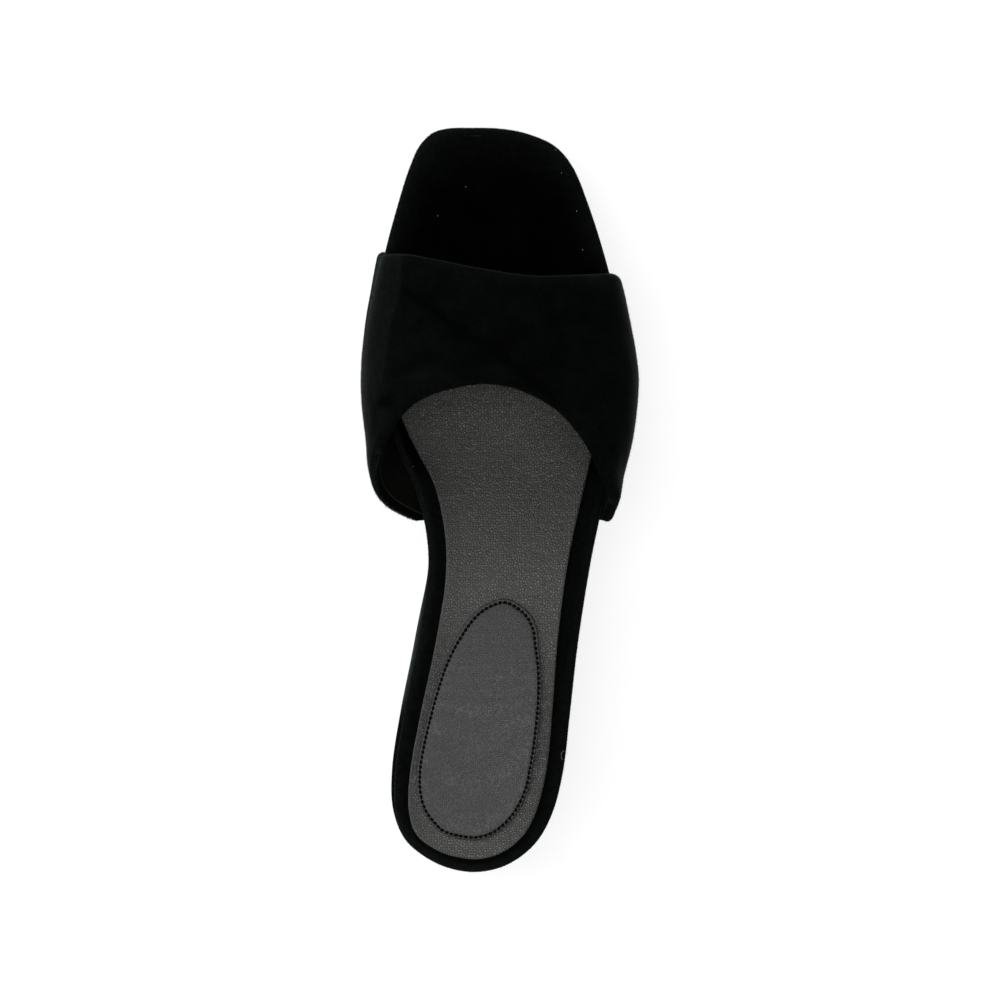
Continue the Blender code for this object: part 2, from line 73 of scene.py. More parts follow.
SOCK_THICKNESS = 0.0013
SOCK_MARGIN = 0.0056
SOCK_FRONT = 0.725
SOCK_FRONT_BOW = 0.012
PAD_THICKNESS = 0.0012
PAD_WIDTH = 0.0363

BAND_WALL = 0.0032
BAND_FLARE = 0.0120
INSTEP_HEIGHT = 0.045
LASTING_MARGIN = 0.008
CLEARANCE = 0.0003

# Each outline row: share of the length from heel to toe, the inner and the outer edge as shares of
# the width that the row follows, and that width.
FOOTBED_OUTLINE = (
    (0.000, -0.156, -0.156, HEEL_WIDTH),
    (0.006, -0.315, 0.000, HEEL_WIDTH),
    (0.021, -0.453, 0.126, HEEL_WIDTH),
    (0.044, -0.567, 0.231, HEEL_WIDTH),
    (0.081, -0.626, 0.317, HEEL_WIDTH),
    (0.135, -0.627, 0.378, HEEL_WIDTH),
    (0.216, -0.573, 0.421, HEEL_WIDTH),
    (0.310, -0.505, 0.481, WAIST_WIDTH),
    (0.418, -0.440, 0.560, WAIST_WIDTH),
    (0.499, -0.498, 0.635, WAIST_WIDTH),
    (0.579, -0.430, 0.472, BALL_WIDTH),
    (0.660, -0.499, 0.498, BALL_WIDTH),
    (0.741, -0.507, 0.485, BALL_WIDTH),
    (0.822, -0.476, 0.432, BALL_WIDTH),
    (0.902, -0.610, 0.525, TOE_WIDTH),
    (0.950, -0.540, 0.432, TOE_WIDTH),
    (0.976, -0.485, 0.328, TOE_WIDTH),
    (0.993, -0.408, 0.151, TOE_WIDTH),
    (0.999, -0.317, -0.003, TOE_WIDTH),
    (1.000, -0.166, -0.166, TOE_WIDTH),
)

# The footbed's rise: share of the length, share of the difference of heel and forefoot height.
FOOTBED_RISE = (
    (0.00, 1.000),
    (0.12, 0.985),
    (0.24, 0.900),
    (0.36, 0.680),
    (0.48, 0.400),
    (0.58, 0.155),
    (0.67, 0.020),
    (0.76, 0.000),
    (1.00, 0.000),
)

# The wedge's side: share of the length, reveal past the footbed at the inner and the outer side as
# shares of WEDGE_REVEAL, and inset of its foot at both sides as shares of WALL_INSET.
WEDGE_SIDE = (
    (0.00, 0.00, 0.00, 0.60, 0.60),
    (0.04, 0.10, 0.00, 0.60, 0.80),
    (0.12, 0.90, 0.00, 0.70, 1.00),
    (0.25, 1.00, 0.00, 0.30, 0.80),
    (0.35, 0.75, 0.00, 0.10, 0.60),
    (0.42, 0.00, 0.00, 0.20, 0.60),
    (0.55, 0.10, 0.30, 0.70, 0.90),
    (0.75, 0.40, 0.40, 1.00, 1.00),
    (0.92, 0.00, 0.00, 1.00, 1.00),
    (1.00, 0.00, 0.00, 1.00, 1.00),
)

# The sock's distance in from the footbed's edge: share of the length, then the inner and the outer
# side as shares of SOCK_MARGIN.
SOCK_INSET = (
    (0.00, 0.74, 0.74),
    (0.03, 0.66, 0.80),
    (0.09, 0.78, 0.92),
    (0.20, 0.92, 1.00),
    (0.32, 1.02, 1.18),
    (0.42, 1.03, 1.28),
    (0.52, 1.08, 1.20),
    (0.56, 0.91, 1.13),
    (0.61, 0.74, 1.05),
    (0.75, 0.72, 1.00),
)

# Painted highlight on the footbed's rounded rim, drawn as lighter pile: share of the length, then the
# inner and the outer side.
RIM_HIGHLIGHT = (
    (0.00, 0.60, 0.60),
    (0.06, 0.38, 0.38),
    (0.12, 0.16, 0.34),
    (0.20, 0.18, 0.34),
    (0.26, 0.34, 0.36),
    (0.31, 0.45, 0.36),
    (0.37, 0.36, 0.36),
    (0.80, 0.36, 0.36),
    (0.90, 0.28, 0.28),
    (1.00, 0.28, 0.28),
)

# Painted light and shade on the sock: how much lighter or darker it is drawn than its own colour, from
# the heel to
# the ball: y in millimetres and the share.
SOCK_PAINTED_LIGHT = (
    (-115, 0.80),
    (-104, 0.32),
    (-90, -0.20),
    (-70, -0.30),
    (-52, 0.12),
    (-34, 0.74),
    (-20, 0.50),
    (-6, 0.00),
    (6, -0.08),
    (18, 0.32),
    (28, 1.10),
    (32, 1.45),
    (40, 1.60),
)

# The heel pad's outline: share of the way from its back to its front, then its inner and outer edge
# as shares of PAD_WIDTH. Its ends are given as shares of HEEL_WIDTH and of the shoe's length.
PAD_OUTLINE = (
    (0.000, 0.000, 0.000),
    (0.010, -0.230, 0.105),
    (0.040, -0.330, 0.225),
    (0.090, -0.435, 0.325),
    (0.160, -0.502, 0.405),
    (0.250, -0.535, 0.456),
    (0.340, -0.535, 0.463),
    (0.450, -0.520, 0.463),
    (0.580, -0.489, 0.447),
    (0.700, -0.444, 0.415),
    (0.820, -0.368, 0.353),
    (0.910, -0.275, 0.298),
    (0.965, -0.165, 0.195),
    (1.000, 0.000, 0.000),
)
PAD_BACK = (-0.191, 0.0435)
PAD_FRONT = (0.036, 0.3670)

# The band's cross-sections: share of the shoe's length, how far it stands out from the footbed at the
# inner and the outer side as shares of BAND_FLARE, then the height of its crown and of its widest
# place over the footbed as shares of INSTEP_HEIGHT.
BAND_SECTIONS = (
    (0.450, 0.86, 0.34, 0.66, 0.30),
    (0.500, 1.10, 0.43, 0.76, 0.31),
    (0.540, 1.04, 0.46, 0.84, 0.30),
    (0.580, 0.80, 0.49, 0.92, 0.28),
    (0.660, 0.46, 0.46, 1.00, 0.25),
    (0.740, 0.23, 0.32, 0.85, 0.22),
    (0.835, 0.10, 0.30, 0.66, 0.19),
)
CROWN_SHARE = 0.42
CROWN_SQUARENESS = 2.4

# The band's two edges: share of the way round from the inner base (-1) over the crown (0) to the
# outer base (1), then the share of the shoe's length.
BAND_FRONT_EDGE = (
    (-1.00, 0.820),
    (-0.75, 0.829),
    (-0.50, 0.832),
    (-0.25, 0.824),
    (0.00, 0.813),
    (0.25, 0.803),
    (0.50, 0.804),
    (0.70, 0.806),
    (0.85, 0.803),
    (1.00, 0.796),
)
BAND_BACK_EDGE = (
    (-1.00, 0.4695),
    (-0.90, 0.4795),
    (-0.80, 0.4925),
    (-0.70, 0.5090),
    (-0.60, 0.5290),
    (-0.50, 0.5670),
    (-0.40, 0.6035),
    (-0.25, 0.6360),
    (0.00, 0.6560),
    (0.15, 0.6490),
    (0.30, 0.6220),
    (0.40, 0.5925),
    (0.50, 0.5565),
    (0.60, 0.5220),
    (0.70, 0.5000),
    (0.80, 0.4915),
    (0.90, 0.4815),
    (1.00, 0.4700),
)

# Seen from above, in millimetres: the soft trough that crosses the band, as x and y from its front end
# to its back end, and the width of the trough there.
TROUGH = (
    (-30.6, 66.8, 0.7),
    (-28.6, 65.5, 0.9),
    (-21.1, 60.5, 1.0),
    (-15.5, 56.1, 1.1),
    (-8.9, 51.3, 1.2),
    (-2.3, 47.4, 1.3),
    (2.6, 43.9, 1.3),
    (7.6, 39.9, 1.3),
    (13.3, 36.1, 1.3),
    (18.0, 32.6, 1.3),
)
TROUGH_DEPTH = 0.00085

# The band's inner shoulder, where its side turns down: y and x in millimetres.
SHOULDER = (
    (33.0, -39.0),
    (42.9, -36.8),
    (46.1, -36.3),
    (58.2, -34.4),
    (65.0, -32.3),
    (75.5, -31.5),
    (80.0, -31.4),
)
SHOULDER_DEPTH = 0.0003
SHOULDER_WIDTH = 0.0024

# How far the padding stands out (or in) at the band's sides: y, then the inner and the outer side, all
# in millimetres.
SIDE_SWELL = (
    (-8.0, 0.20, 0.45),
    (-3.5, 0.50, 0.65),
    (-1.0, 0.60, 0.40),
    (6.0, 0.20, -0.40),
    (14.0, -0.35, -0.35),
    (26.0, -0.10, -0.10),
    (36.0, 0.05, 0.00),
    (48.0, 0.50, 0.05),
    (58.0, 0.40, -0.10),
    (70.0, -0.05, -0.35),
    (80.0, -0.25, -0.40),
)

# Places where the band's pile lies another way, and painted highlights and painted shade where its sides
# catch or
# lose the light: x, y and the reach along x and y in millimetres, the turn in degrees, and how much
# lighter or darker the band is drawn there.
PILE_AND_LIGHT_MARKS = (
    (-37.0, 31.2, 2.3, 1.9, 20, -0.9),
    (-13.9, 59.9, 1.6, 1.6, 0, -0.35),
    (-24.5, 39.7, 5.0, 1.7, 12, 0.40),
    (-0.5, 39.7, 6.5, 2.8, -12, 0.35),
    (27.5, 23.0, 3.2, 7.0, 35, 0.35),
    (-38.4, 35.0, 3.4, 3.2, 10, 0.45),
    (-40.4, 58.4, 3.4, 0.7, 42, -0.45),
    (38.7, 8.5, 2.0, 10.0, -6, 1.60),
    (41.6, 38.0, 1.6, 12.0, 0, -0.50),
    (-38.0, 22.0, 2.4, 6.5, -12, 0.35),
    (34.5, 12.0, 2.5, 5.0, 10, 0.40),
    (-6.0, 62.0, 14.0, 6.0, 0, 0.10),
    (18.0, 58.0, 12.0, 9.0, 0, -0.15),
    (11.0, 49.0, 13.0, 6.5, -38, -0.22),
    (31.0, 70.5, 4.5, 3.0, -8, 0.80),
)

# Specks of lint on the footbed's velvet, and the middle of one curled hair: x and y in millimetres.
LINT_PLACES = (
    (-11.0, 100.2),
    (-20.0, 90.9),
    (17.8, 112.0),
    (19.7, 104.6),
    (26.4, 80.0),
    (-27.7, 10.6),
    (24.6, 92.4),
)
CURLED_HAIR = (20.6, -81.8)
HAIR_CURL = (0.0011, 0.0016)
HAIR_TURN = 1.35 * math.pi

# The band's padded edge: how far it rolls over at the outside and the inside, and how deep its nose is.
ROLL_OUTSIDE = 0.0030
ROLL_INSIDE = 0.0008
ROLL_NOSE = 0.0021
TURNED_DEPTH = 0.0016

# Down by the footbed, the band's back corners are drawn in along the shoe, and its front ones reach a
# little further.
OUTER_BACK_DRAW = 0.0006
INNER_BACK_DRAW = 0.0008
INNER_FRONT_REACH = 0.0022
OUTER_FRONT_REACH = 0.0007

# Loose pile: how many hairs, how far they lean, their shortest and longest length and their width. The
# tufts stand off the inner end of the band's back edge.
BAND_HAIRS = (36000, 0.35, 0.00020, 0.00056, 0.00007)
TUFT_HAIRS = (900, 0.50, 0.00030, 0.00100, 0.00022)
FOOTBED_HAIRS = (30000, 0.40, 0.00015, 0.00042, 0.00006)

# How much thinner the band's wall is at the inner side of its front, down by the footbed.
FRONT_TAPER = 0.0011

# The lining: how far it ends inside the band's edges, its thickness, and how far it stands off the wall.
LINING_INSET = 0.0010
LINING_THICKNESS = 0.0007
LINING_PROUD = 0.00025

STITCH_PITCH = 0.0016
STITCH_LENGTH = 0.00136
STITCH_WIDTH = 0.00112
STITCH_INSET = 0.00082
STITCH_INSET_FRONT = 0.0013
STITCH_SLANT = 14
STITCH_SINK = 0.00014

# The heel pad's top from its edge inwards: share of the stitches' inset, and rise past PAD_THICKNESS.
PAD_PROFILE = (
    (0.00, -0.00045),
    (0.12, -0.00022),
    (0.30, -0.00006),
    (0.50, 0.00000),
    (0.72, -0.00006),
    (0.88, -0.00022),
    (1.00, -0.00032),
    (1.12, -0.00024),
    (1.35, -0.00008),
    (1.70, 0.00004),
    (2.40, 0.00012),
    (3.40, 0.00016),
)

# The sock's cut edge from outside inwards: inset, and rise past SOCK_THICKNESS.
SOCK_PROFILE = (
    (0.00000, -0.00040),
    (0.00022, -0.00018),
    (0.00040, -0.00005),
    (0.00070, 0.00000),
    (0.00140, 0.00005),
    (0.00300, 0.00000),
)

# The outsole's side: height over its underside, and how far the groove cuts in there.
SOLE_GROOVE = (
    (0.0013, 0.00000),
    (0.0015, 0.00025),
    (0.0017, 0.00000),
    (0.0029, 0.00000),
)

# The tread's zigzag ribs: their pitch, the width of one zigzag, and their depth.
TREAD_PITCH = 0.0036
TREAD_ZIGZAG = 0.0042
TREAD_DEPTH = 0.0005

# The strip high on the wedge's inner side, painted as a highlight: how far below the top it runs and its
# width, the shares of the length between which it shows, and how much lighter it is drawn.
STRIP_DROP = 0.0015
STRIP_WIDTH = 0.0011
STRIP_START = 0.205
STRIP_END = 0.40
STRIP_HIGHLIGHT = 1.8

# How much of the rim's painted highlight each ring of the footbed gets, from the middle of its edge up
# to its top, and the extra painted highlight of the crest at the inner side's waist: share of the
# length, reach and strength.
RIM_SHARES = (1.0, 1.0, 1.0, 0.9, 0.75, 0.6, 0.4, 0.2)
CREST_PLACE = 0.56
CREST_REACH = 0.06
CREST_HIGHLIGHT = 0.8


def smooth_value(rows, x, column):
    """A cubic through the rows' values in one column, at x in the rows' first column."""
    xs = np.array([row[0] for row in rows], float)
    ys = np.array([row[column] for row in rows], float)
    x = np.clip(x, xs[0], xs[-1])
    i = np.clip(np.searchsorted(xs, x, side="right") - 1, 0, len(xs) - 2)
    order = np.arange(len(xs))
    low = np.maximum(order - 1, 0)
    high = np.minimum(order + 1, len(xs) - 1)
    slopes = (ys[high] - ys[low]) / (xs[high] - xs[low])
    span = xs[i + 1] - xs[i]
    t = (x - xs[i]) / span
    rise = ys[i + 1] - ys[i]
    start = slopes[i] * span
    end = slopes[i + 1] * span
    return ys[i] + t * start + t * t * (3 * rise - 2 * start - end) + t**3 * (start + end - 2 * rise)


def bell(value, middle, width):
    """1 at the middle, and falling off over the width at both sides of it."""
    return np.exp(-(((value - middle) / width) ** 2))


def ramp(value, start, end):
    """0 at start and before it, 1 at end and past it, and straight between; end may be the smaller."""
    return np.clip((value - start) / (end - start), 0, 1)


def eased(share):
    """A share that starts and ends softly."""
    return share * share * (3 - 2 * share)


def zigzag(value):
    """Straight lines between 1 at whole numbers and 0 halfway between them."""
    return np.abs(np.mod(value, 1.0) - 0.5) * 2


def unit(vectors):
    """The vectors with a length of one."""
    return vectors / (np.linalg.norm(vectors, axis=-1, keepdims=True) + 1e-12)


def grid_normals(points):
    """Unit normals of a grid of points, on one side of it."""
    return unit(np.cross(np.gradient(points, axis=0), np.gradient(points, axis=1)))


def spline(points, steps):
    """A closed centripetal Catmull-Rom curve through the points, with some steps for each stretch."""
    count = len(points)
    curve = []
    for i in range(count):
        p = [points[(i + k) % count] for k in (-1, 0, 1, 2)]
        knots = [0.0]
        for a, b in zip(p, p[1:]):
            knots.append(knots[-1] + math.sqrt((b - a).length))
        for step in range(steps):
            t = knots[1] + (knots[2] - knots[1]) * step / steps
            level = p
            for width in (1, 2):
                level = [
                    level[k].lerp(level[k + 1], (t - knots[k]) / (knots[k + width] - knots[k]))
                    for k in range(4 - width)
                ]
            curve.append(level[0].lerp(level[1], (t - knots[1]) / (knots[2] - knots[1])))
    return curve


def two_sides(inner, outer):
    """Fine curves up both sides of a plan outline; the sides share their first and last points."""
    loop = spline(inner + outer[-2:0:-1], 24)
    split = (len(inner) - 1) * 24
    sides = loop[: split + 1], [loop[0]] + loop[: split - 1 : -1]
    return [np.array([(p.x, p.y) for p in side]) for side in sides]


def arc_lengths(path):
    steps = np.linalg.norm(np.diff(path, axis=0), axis=1)
    return np.concatenate(([0.0], np.cumsum(steps)))


def at_shares(path, shares):
    """Points at shares of the arc length of a fine polyline."""
    lengths = arc_lengths(path)
    target = np.asarray(shares) * lengths[-1]
    return np.stack([np.interp(target, lengths, path[:, k]) for k in range(path.shape[1])], axis=1)


def end_weighted_shares(count, weight=0.42):
    """Shares from 0 to 1 that lie closer together at both ends."""
    turns = np.linspace(0, 1, count + 1)
    return turns - weight * np.sin(2 * math.pi * turns) / (2 * math.pi)


def length_at(along):
    """Y of a share of the shoe's length, from the heel's back to the toe's tip."""
    return (along - 0.5) * SHOE_LENGTH


def along_at(y):
    return y / SHOE_LENGTH + 0.5


def footbed_sides():
    """The footbed's plan as two fine curves from the heel's back to the toe's tip."""
    inner = [Vector((a * width, length_at(along))) for along, a, _, width in FOOTBED_OUTLINE]
    outer = [Vector((b * width, length_at(along))) for along, _, b, width in FOOTBED_OUTLINE]
    return two_sides(inner, outer)


INNER_SIDE, OUTER_SIDE = footbed_sides()


def edge_x(side, y):
    """X of the footbed's edge at y, on one of its two sides."""
    return np.interp(y, side[:, 1], side[:, 0])


def edge_normal(side, y, reach=0.004):
    """The level unit vectors that point out of the footbed's edge at y, on one of its two sides."""
    slope = (edge_x(side, y + reach) - edge_x(side, y - reach)) / (2 * reach)
    out = unit(np.stack([np.ones_like(slope), -slope, np.zeros_like(slope)], axis=-1))
    return -out if side is INNER_SIDE else out


def footbed_top(x, y):
    """Height of the footbed's top over the floor."""
    along = along_at(y)
    top = FOREFOOT_HEIGHT + (HEEL_HEIGHT - FOREFOOT_HEIGHT) * smooth_value(FOOTBED_RISE, along, 1)
    top = top + TOE_SPRING * np.maximum((along - 0.74) / 0.26, 0.0) ** 2
    across = (x + 0.16 * HEEL_WIDTH) / (0.5 * HEEL_WIDTH)
    return top - HEEL_DISH * bell(along, 0.12, 0.11) * np.exp(-1.6 * across**2)


def slope_stretch(y, reach=0.003):
    """How much taller a layer that follows the footbed is along Z than square to itself, at y."""
    slope = (footbed_top(0, y + reach) - footbed_top(0, y - reach)) / (2 * reach)
    return np.sqrt(1 + slope * slope)


def sole_bottom(x, y):
    """Height of the outsole's underside: flat under heel and ball, lifted at the waist and the toe."""
    along = along_at(y)
    height = SOLE_TOE_SPRING * np.maximum((along - 0.76) / 0.24, 0.0) ** 2
    return height + WAIST_LIFT * np.sin(math.pi * ramp(along, 0.30, 0.56)) ** 2 + 0 * x


def plan_normals(points):
    """Unit normals that point out of a closed plan loop."""
    x, y = points[:, 0], points[:, 1]
    area = np.sum(np.roll(x, 1) * y - x * np.roll(y, 1))
    tangent = unit(np.roll(points, -1, axis=0) - np.roll(points, 1, axis=0))
    found = np.stack([tangent[:, 1], -tangent[:, 0]], axis=1)
    return found if area > 0 else -found


def grown(points, amount):
    """A plan loop moved out by an amount, or by one amount for each of its points."""
    return points + plan_normals(points) * np.reshape(amount, (-1, 1))


def raised(points, height):
    """Plan points with their heights from a function of x and y."""
    return np.column_stack([points, height(points[:, 0], points[:, 1])])


def loop_of(inner, outer):
    """One closed loop: up the inner side, down the outer side."""
    return np.concatenate([inner, outer[-2:0:-1]])


def footbed_loop(stations, inner_extra=(), outer_extra=()):
    """The footbed's outline, with extra stations at the given Y values."""
    sides = []
    for side, extra in ((INNER_SIDE, inner_extra), (OUTER_SIDE, outer_extra)):
        lengths = arc_lengths(side)
        more = np.interp(extra, side[:, 1], lengths) / lengths[-1]
        sides.append(at_shares(side, np.sort(np.concatenate([end_weighted_shares(stations), more]))))
    return loop_of(*sides)


def side_values(loop, rows, inner_column, outer_column):
    """A table's value for each point of a loop, from the column of the side that it is on."""
    half = len(loop) // 2
    along = along_at(loop[:, 1])
    inner = smooth_value(rows, along, inner_column)
    outer = smooth_value(rows, along, outer_column)
    return np.where(np.arange(len(loop)) <= half, inner, outer)


class Shape:
    """Points, faces, each face's material index, and named values for each point."""

    def __init__(self):
        self.points = []
        self.faces = []
        self.slots = []
        self.count = 0

    def add(self, points):
        """Adds points and returns their indices, in the points' own arrangement."""
        points = np.asarray(points, float)
        flat = points.reshape(-1, 3)
        found = self.count + np.arange(len(flat)).reshape(points.shape[:-1])
        self.points.append(flat)
        self.count += len(flat)
        return found

    def quads(self, grid, closed=False):
        """Quads over a grid of indices; closed joins its last column to its first."""
        right = np.roll(grid, -1, axis=1)
        a, b = grid[:-1], right[:-1]
        c, d = right[1:], grid[1:]
        if not closed:
            a, b, c, d = (part[:, :-1] for part in (a, b, c, d))
        faces = np.stack([a, b, c, d], axis=-1).reshape(-1, 4)
        self.faces += faces.tolist()
        self.slots += [0] * len(faces)

    def cap(self, loop, height, across, ends=6):
        """Closes a loop of indices with rows from side to side, and one face at each of its ends."""
        points = np.concatenate(self.points)[loop]
        half = len(loop) // 2
        left = np.arange(ends, half - ends + 1)
        right = len(loop) - left
        share = (np.arange(1, across) / across)[None, :, None]
        inside = points[left, None, :2] * (1 - share) + points[right, None, :2] * share
        heights = height(inside[..., 0], inside[..., 1])
        middle = self.add(np.concatenate([inside, heights[..., None]], axis=-1))
        rows = np.concatenate([loop[left][:, None], middle, loop[right][:, None]], axis=1)
        self.quads(rows)
        start = np.concatenate([loop[-ends + 1 :], loop[:ends]])
        end = loop[half - ends + 1 : half + ends][::-1]
        self.faces += [np.concatenate(pair).tolist() for pair in ((start, rows[0]), (end, rows[-1]))]
        self.slots += [0, 0]

    def close_ends(self, grid):
        """One face over the first row of a closed grid and one over the last."""
        self.faces += [grid[0].tolist(), grid[-1].tolist()]
        self.slots += [0, 0]

    def loft(self, rings):
        """Joins rings of equal count and returns their indices."""
        grid = self.add(np.stack(rings))
        self.quads(grid, closed=True)
        return grid

    def piece(self, name, materials, values=None, outward=True):
        """The shape as an object, shaded smooth; values are its named point attributes."""
        mesh = bpy.data.meshes.new(name)
        mesh.from_pydata(np.concatenate(self.points).tolist(), [], self.faces)
        for material in materials:
            mesh.materials.append(material)
        mesh.polygons.foreach_set("material_index", np.array(self.slots, np.int32))
        for key, value in (values or {}).items():
            attribute = mesh.attributes.new(key, "FLOAT", "POINT")
            attribute.data.foreach_set("value", np.asarray(value, np.float32))
        if outward:
            bm = bmesh.new()
            bm.from_mesh(mesh)
            bmesh.ops.recalc_face_normals(bm, faces=bm.faces)
            bm.to_mesh(mesh)
            bm.free()
        mesh.shade_smooth()
        mesh.update()
        thing = bpy.data.objects.new(name, mesh)
        bpy.context.scene.collection.objects.link(thing)
        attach(thing, "root")
        return thing


class Nodes:
    """A short way to write a material's node tree: its methods add nodes and return their output."""

    def __init__(self, name):
        self.material = bpy.data.materials.new(name)
        self.material.use_nodes = True
        self.tree = self.material.node_tree
        self.place = self.node("ShaderNodeTexCoord", "Object")

    def feed(self, socket, value):
        if isinstance(value, bpy.types.NodeSocket):
            self.tree.links.new(value, socket)
        else:
            socket.default_value = value

    def node(self, kind, output, inputs=None, **settings):
        """One output of a new node that has the given settings and inputs."""
        made = self.tree.nodes.new(kind)
        for key, value in settings.items():
            setattr(made, key, value)
        for key, value in (inputs or {}).items():
            self.feed(made.inputs[key], value)
        return made.outputs[output]

    def noise(self, size, detail=2.0, roughness=0.5, output="Fac"):
        """Soft noise whose features are about as wide as size."""
        inputs = {"Vector": self.place, "Scale": 1.0 / size, "Detail": detail, "Roughness": roughness}
        return self.node("ShaderNodeTexNoise", output, inputs)

    def cells(self, size, feature, place, **inputs):
        """Voronoi cells about as wide as size."""
        inputs.update(Vector=place, Scale=1.0 / size)
        return self.node("ShaderNodeTexVoronoi", "Distance", inputs, feature=feature)

    def warped(self, size, amount):
        """The surface's place, moved about by noise."""
        inputs = {0: self.noise(size, output="Color"), 1: (amount, amount, amount), 2: self.place}
        return self.node("ShaderNodeVectorMath", 0, inputs, operation="MULTIPLY_ADD")

    def math(self, operation, a, b=0.0, clamp=False):
        return self.node("ShaderNodeMath", 0, {0: a, 1: b}, operation=operation, use_clamp=clamp)

    def ranged(self, value, low, high, start=0.0, end=1.0):
        """The value mapped from low..high to start..end, smoothly and clamped."""
        inputs = dict(enumerate((value, low, high, start, end)))
        return self.node("ShaderNodeMapRange", "Result", inputs, interpolation_type="SMOOTHSTEP")

    def uprightness(self):
        """How level the surface lies, from 0 on a wall to 1 on flat ground."""
        normal = self.node("ShaderNodeNewGeometry", "Normal")
        return self.math("ABSOLUTE", self.node("ShaderNodeSeparateXYZ", "Z", {0: normal}))

    def attribute(self, name):
        return self.node("ShaderNodeAttribute", "Fac", attribute_name=name)

    def mixed(self, share, a, b):
        """A colour between a and b."""
        a, b = ((*colour, 1.0) if isinstance(colour, tuple) else colour for colour in (a, b))
        return self.node("ShaderNodeMix", "Result", {"Factor": share, "A": a, "B": b}, data_type="RGBA")

    def bump(self, height, distance, strength=1.0, under=None):
        """A normal moved by a height, on top of the one under it."""
        inputs = {"Height": height, "Distance": distance, "Strength": strength}
        if under is not None:
            inputs["Normal"] = under
        return self.node("ShaderNodeBump", "Normal", inputs)

    def finish(self, **inputs):
        """Sets the shader's inputs, whose names have underscores for spaces."""
        shader = self.tree.nodes["Principled BSDF"]
        for key, value in inputs.items():
            self.feed(shader.inputs[key.replace("_", " ")], value)
        return self.material


def velvet(name, deep, light, uneven, sheen, sheen_roughness, highlight_gain=1.0):
    """Short black pile: almost no light comes back head-on, and grazing light turns it blue-grey.

    Uneven is how much of the way from deep to light the pile's own clumps and brush marks reach; the
    attribute that carries pile marks and painted light and shade reaches the rest. Where that passes 1,
    a painted highlight makes the pile lighter still, by the given gain.
    """
    m = Nodes(name)
    pile = m.noise(0.0005, detail=3.0, roughness=0.65)
    clumps = m.noise(0.0016, detail=2.0)
    brushed = m.noise(0.008, detail=3.0)
    nap_and_painted_light = m.attribute("nap_and_painted_light")
    marks = m.math("MULTIPLY", m.ranged(brushed, 0.30, 0.72), 0.5 * uneven)
    hairs = m.math("MULTIPLY", m.ranged(pile, 0.3, 0.7), 0.5 * uneven)
    tone = m.math("ADD", m.math("ADD", marks, hairs), m.math("MULTIPLY", nap_and_painted_light, 0.6), clamp=True)
    tone = m.math("MULTIPLY", tone, m.ranged(clumps, 0.25, 0.75, 0.75, 1.2), clamp=True)
    colour = m.mixed(tone, deep, light)
    if highlight_gain > 1:
        colour = m.mixed(m.ranged(nap_and_painted_light, 1.0, 2.0), colour, tuple(highlight_gain * value for value in light))
    level = m.ranged(m.uprightness(), 0.35, 0.95, 0.15, 1.0)
    fine = m.bump(pile, 0.00022, level)
    soft = m.bump(clumps, 0.0003, level, under=fine)
    normal = m.bump(brushed, 0.0004, level, under=soft)
    return m.finish(
        Base_Color=colour,
        Roughness=m.ranged(pile, 0.2, 0.8, 0.85, 1.0),
        Specular_IOR_Level=0.0,
        Sheen_Weight=sheen,
        Sheen_Roughness=sheen_roughness,
        Sheen_Tint=(0.89, 1.0, 0.98, 1.0),
        Normal=normal,
    )


def leather(name, deep, light, edge, pebble, height):
    """Pebbled leather; the attribute tone paints light and shade on it, lighter or darker, and cut gives
    its edge colour.
    """
    m = Nodes(name)
    place = m.warped(3 * pebble, 0.5 * pebble)
    gaps = m.ranged(m.cells(pebble, "DISTANCE_TO_EDGE", place, Randomness=0.75), 0.0, 0.34)
    pores = m.noise(0.5 * pebble, detail=2.0)
    broad = m.noise(0.012, detail=3.0)
    relief = m.math("ADD", gaps, m.math("MULTIPLY", pores, 0.25))
    share = m.math("MULTIPLY", gaps, 0.82)
    share = m.math("ADD", share, m.math("MULTIPLY", m.ranged(broad, 0.3, 0.7), 0.10))
    share = m.math("ADD", share, m.math("MULTIPLY", m.ranged(pores, 0.3, 0.7), 0.08))
    colour = m.mixed(share, deep, light)
    tone = m.math("ADD", m.attribute("tone"), 1.0)
    scaled = m.node("ShaderNodeVectorMath", 0, {0: colour, "Scale": tone}, operation="SCALE")
    colour = m.mixed(m.attribute("cut"), scaled, edge)
    return m.finish(
        Base_Color=colour,
        Roughness=m.ranged(broad, 0.25, 0.75, 0.45, 0.57),
        Specular_IOR_Level=0.5,
        Normal=m.bump(relief, height),
    )


def lining_leather(name):
    """Dark brown-black lining, with a pale raw edge where the attribute cut says so."""
    m = Nodes(name)
    grain = m.cells(0.0007, "SMOOTH_F1", m.warped(0.003, 0.001), Smoothness=0.5)
    broad = m.noise(0.010, detail=3.0)
    colour = m.mixed(m.ranged(broad, 0.3, 0.7), (0.0007, 0.0008, 0.0005), (0.0016, 0.0017, 0.0011))
    colour = m.mixed(m.attribute("cut"), colour, (0.010, 0.010, 0.008))
    return m.finish(
        Base_Color=colour,
        Roughness=m.ranged(broad, 0.3, 0.7, 0.55, 0.68),
        Specular_IOR_Level=0.12,
        Normal=m.bump(grain, 0.00006),
    )


def rubber(name):
    """Matt black sole rubber with faint moulding grain."""
    m = Nodes(name)
    grain = m.noise(0.0006, detail=4.0, roughness=0.7)
    worn = m.noise(0.014, detail=3.0)
    return m.finish(
        Base_Color=m.mixed(m.ranged(worn, 0.3, 0.7), (0.006, 0.006, 0.006), (0.013, 0.013, 0.0125)),
        Roughness=m.ranged(grain, 0.2, 0.8, 0.55, 0.8),
        Specular_IOR_Level=0.35,
        Normal=m.bump(grain, 0.00008),
    )


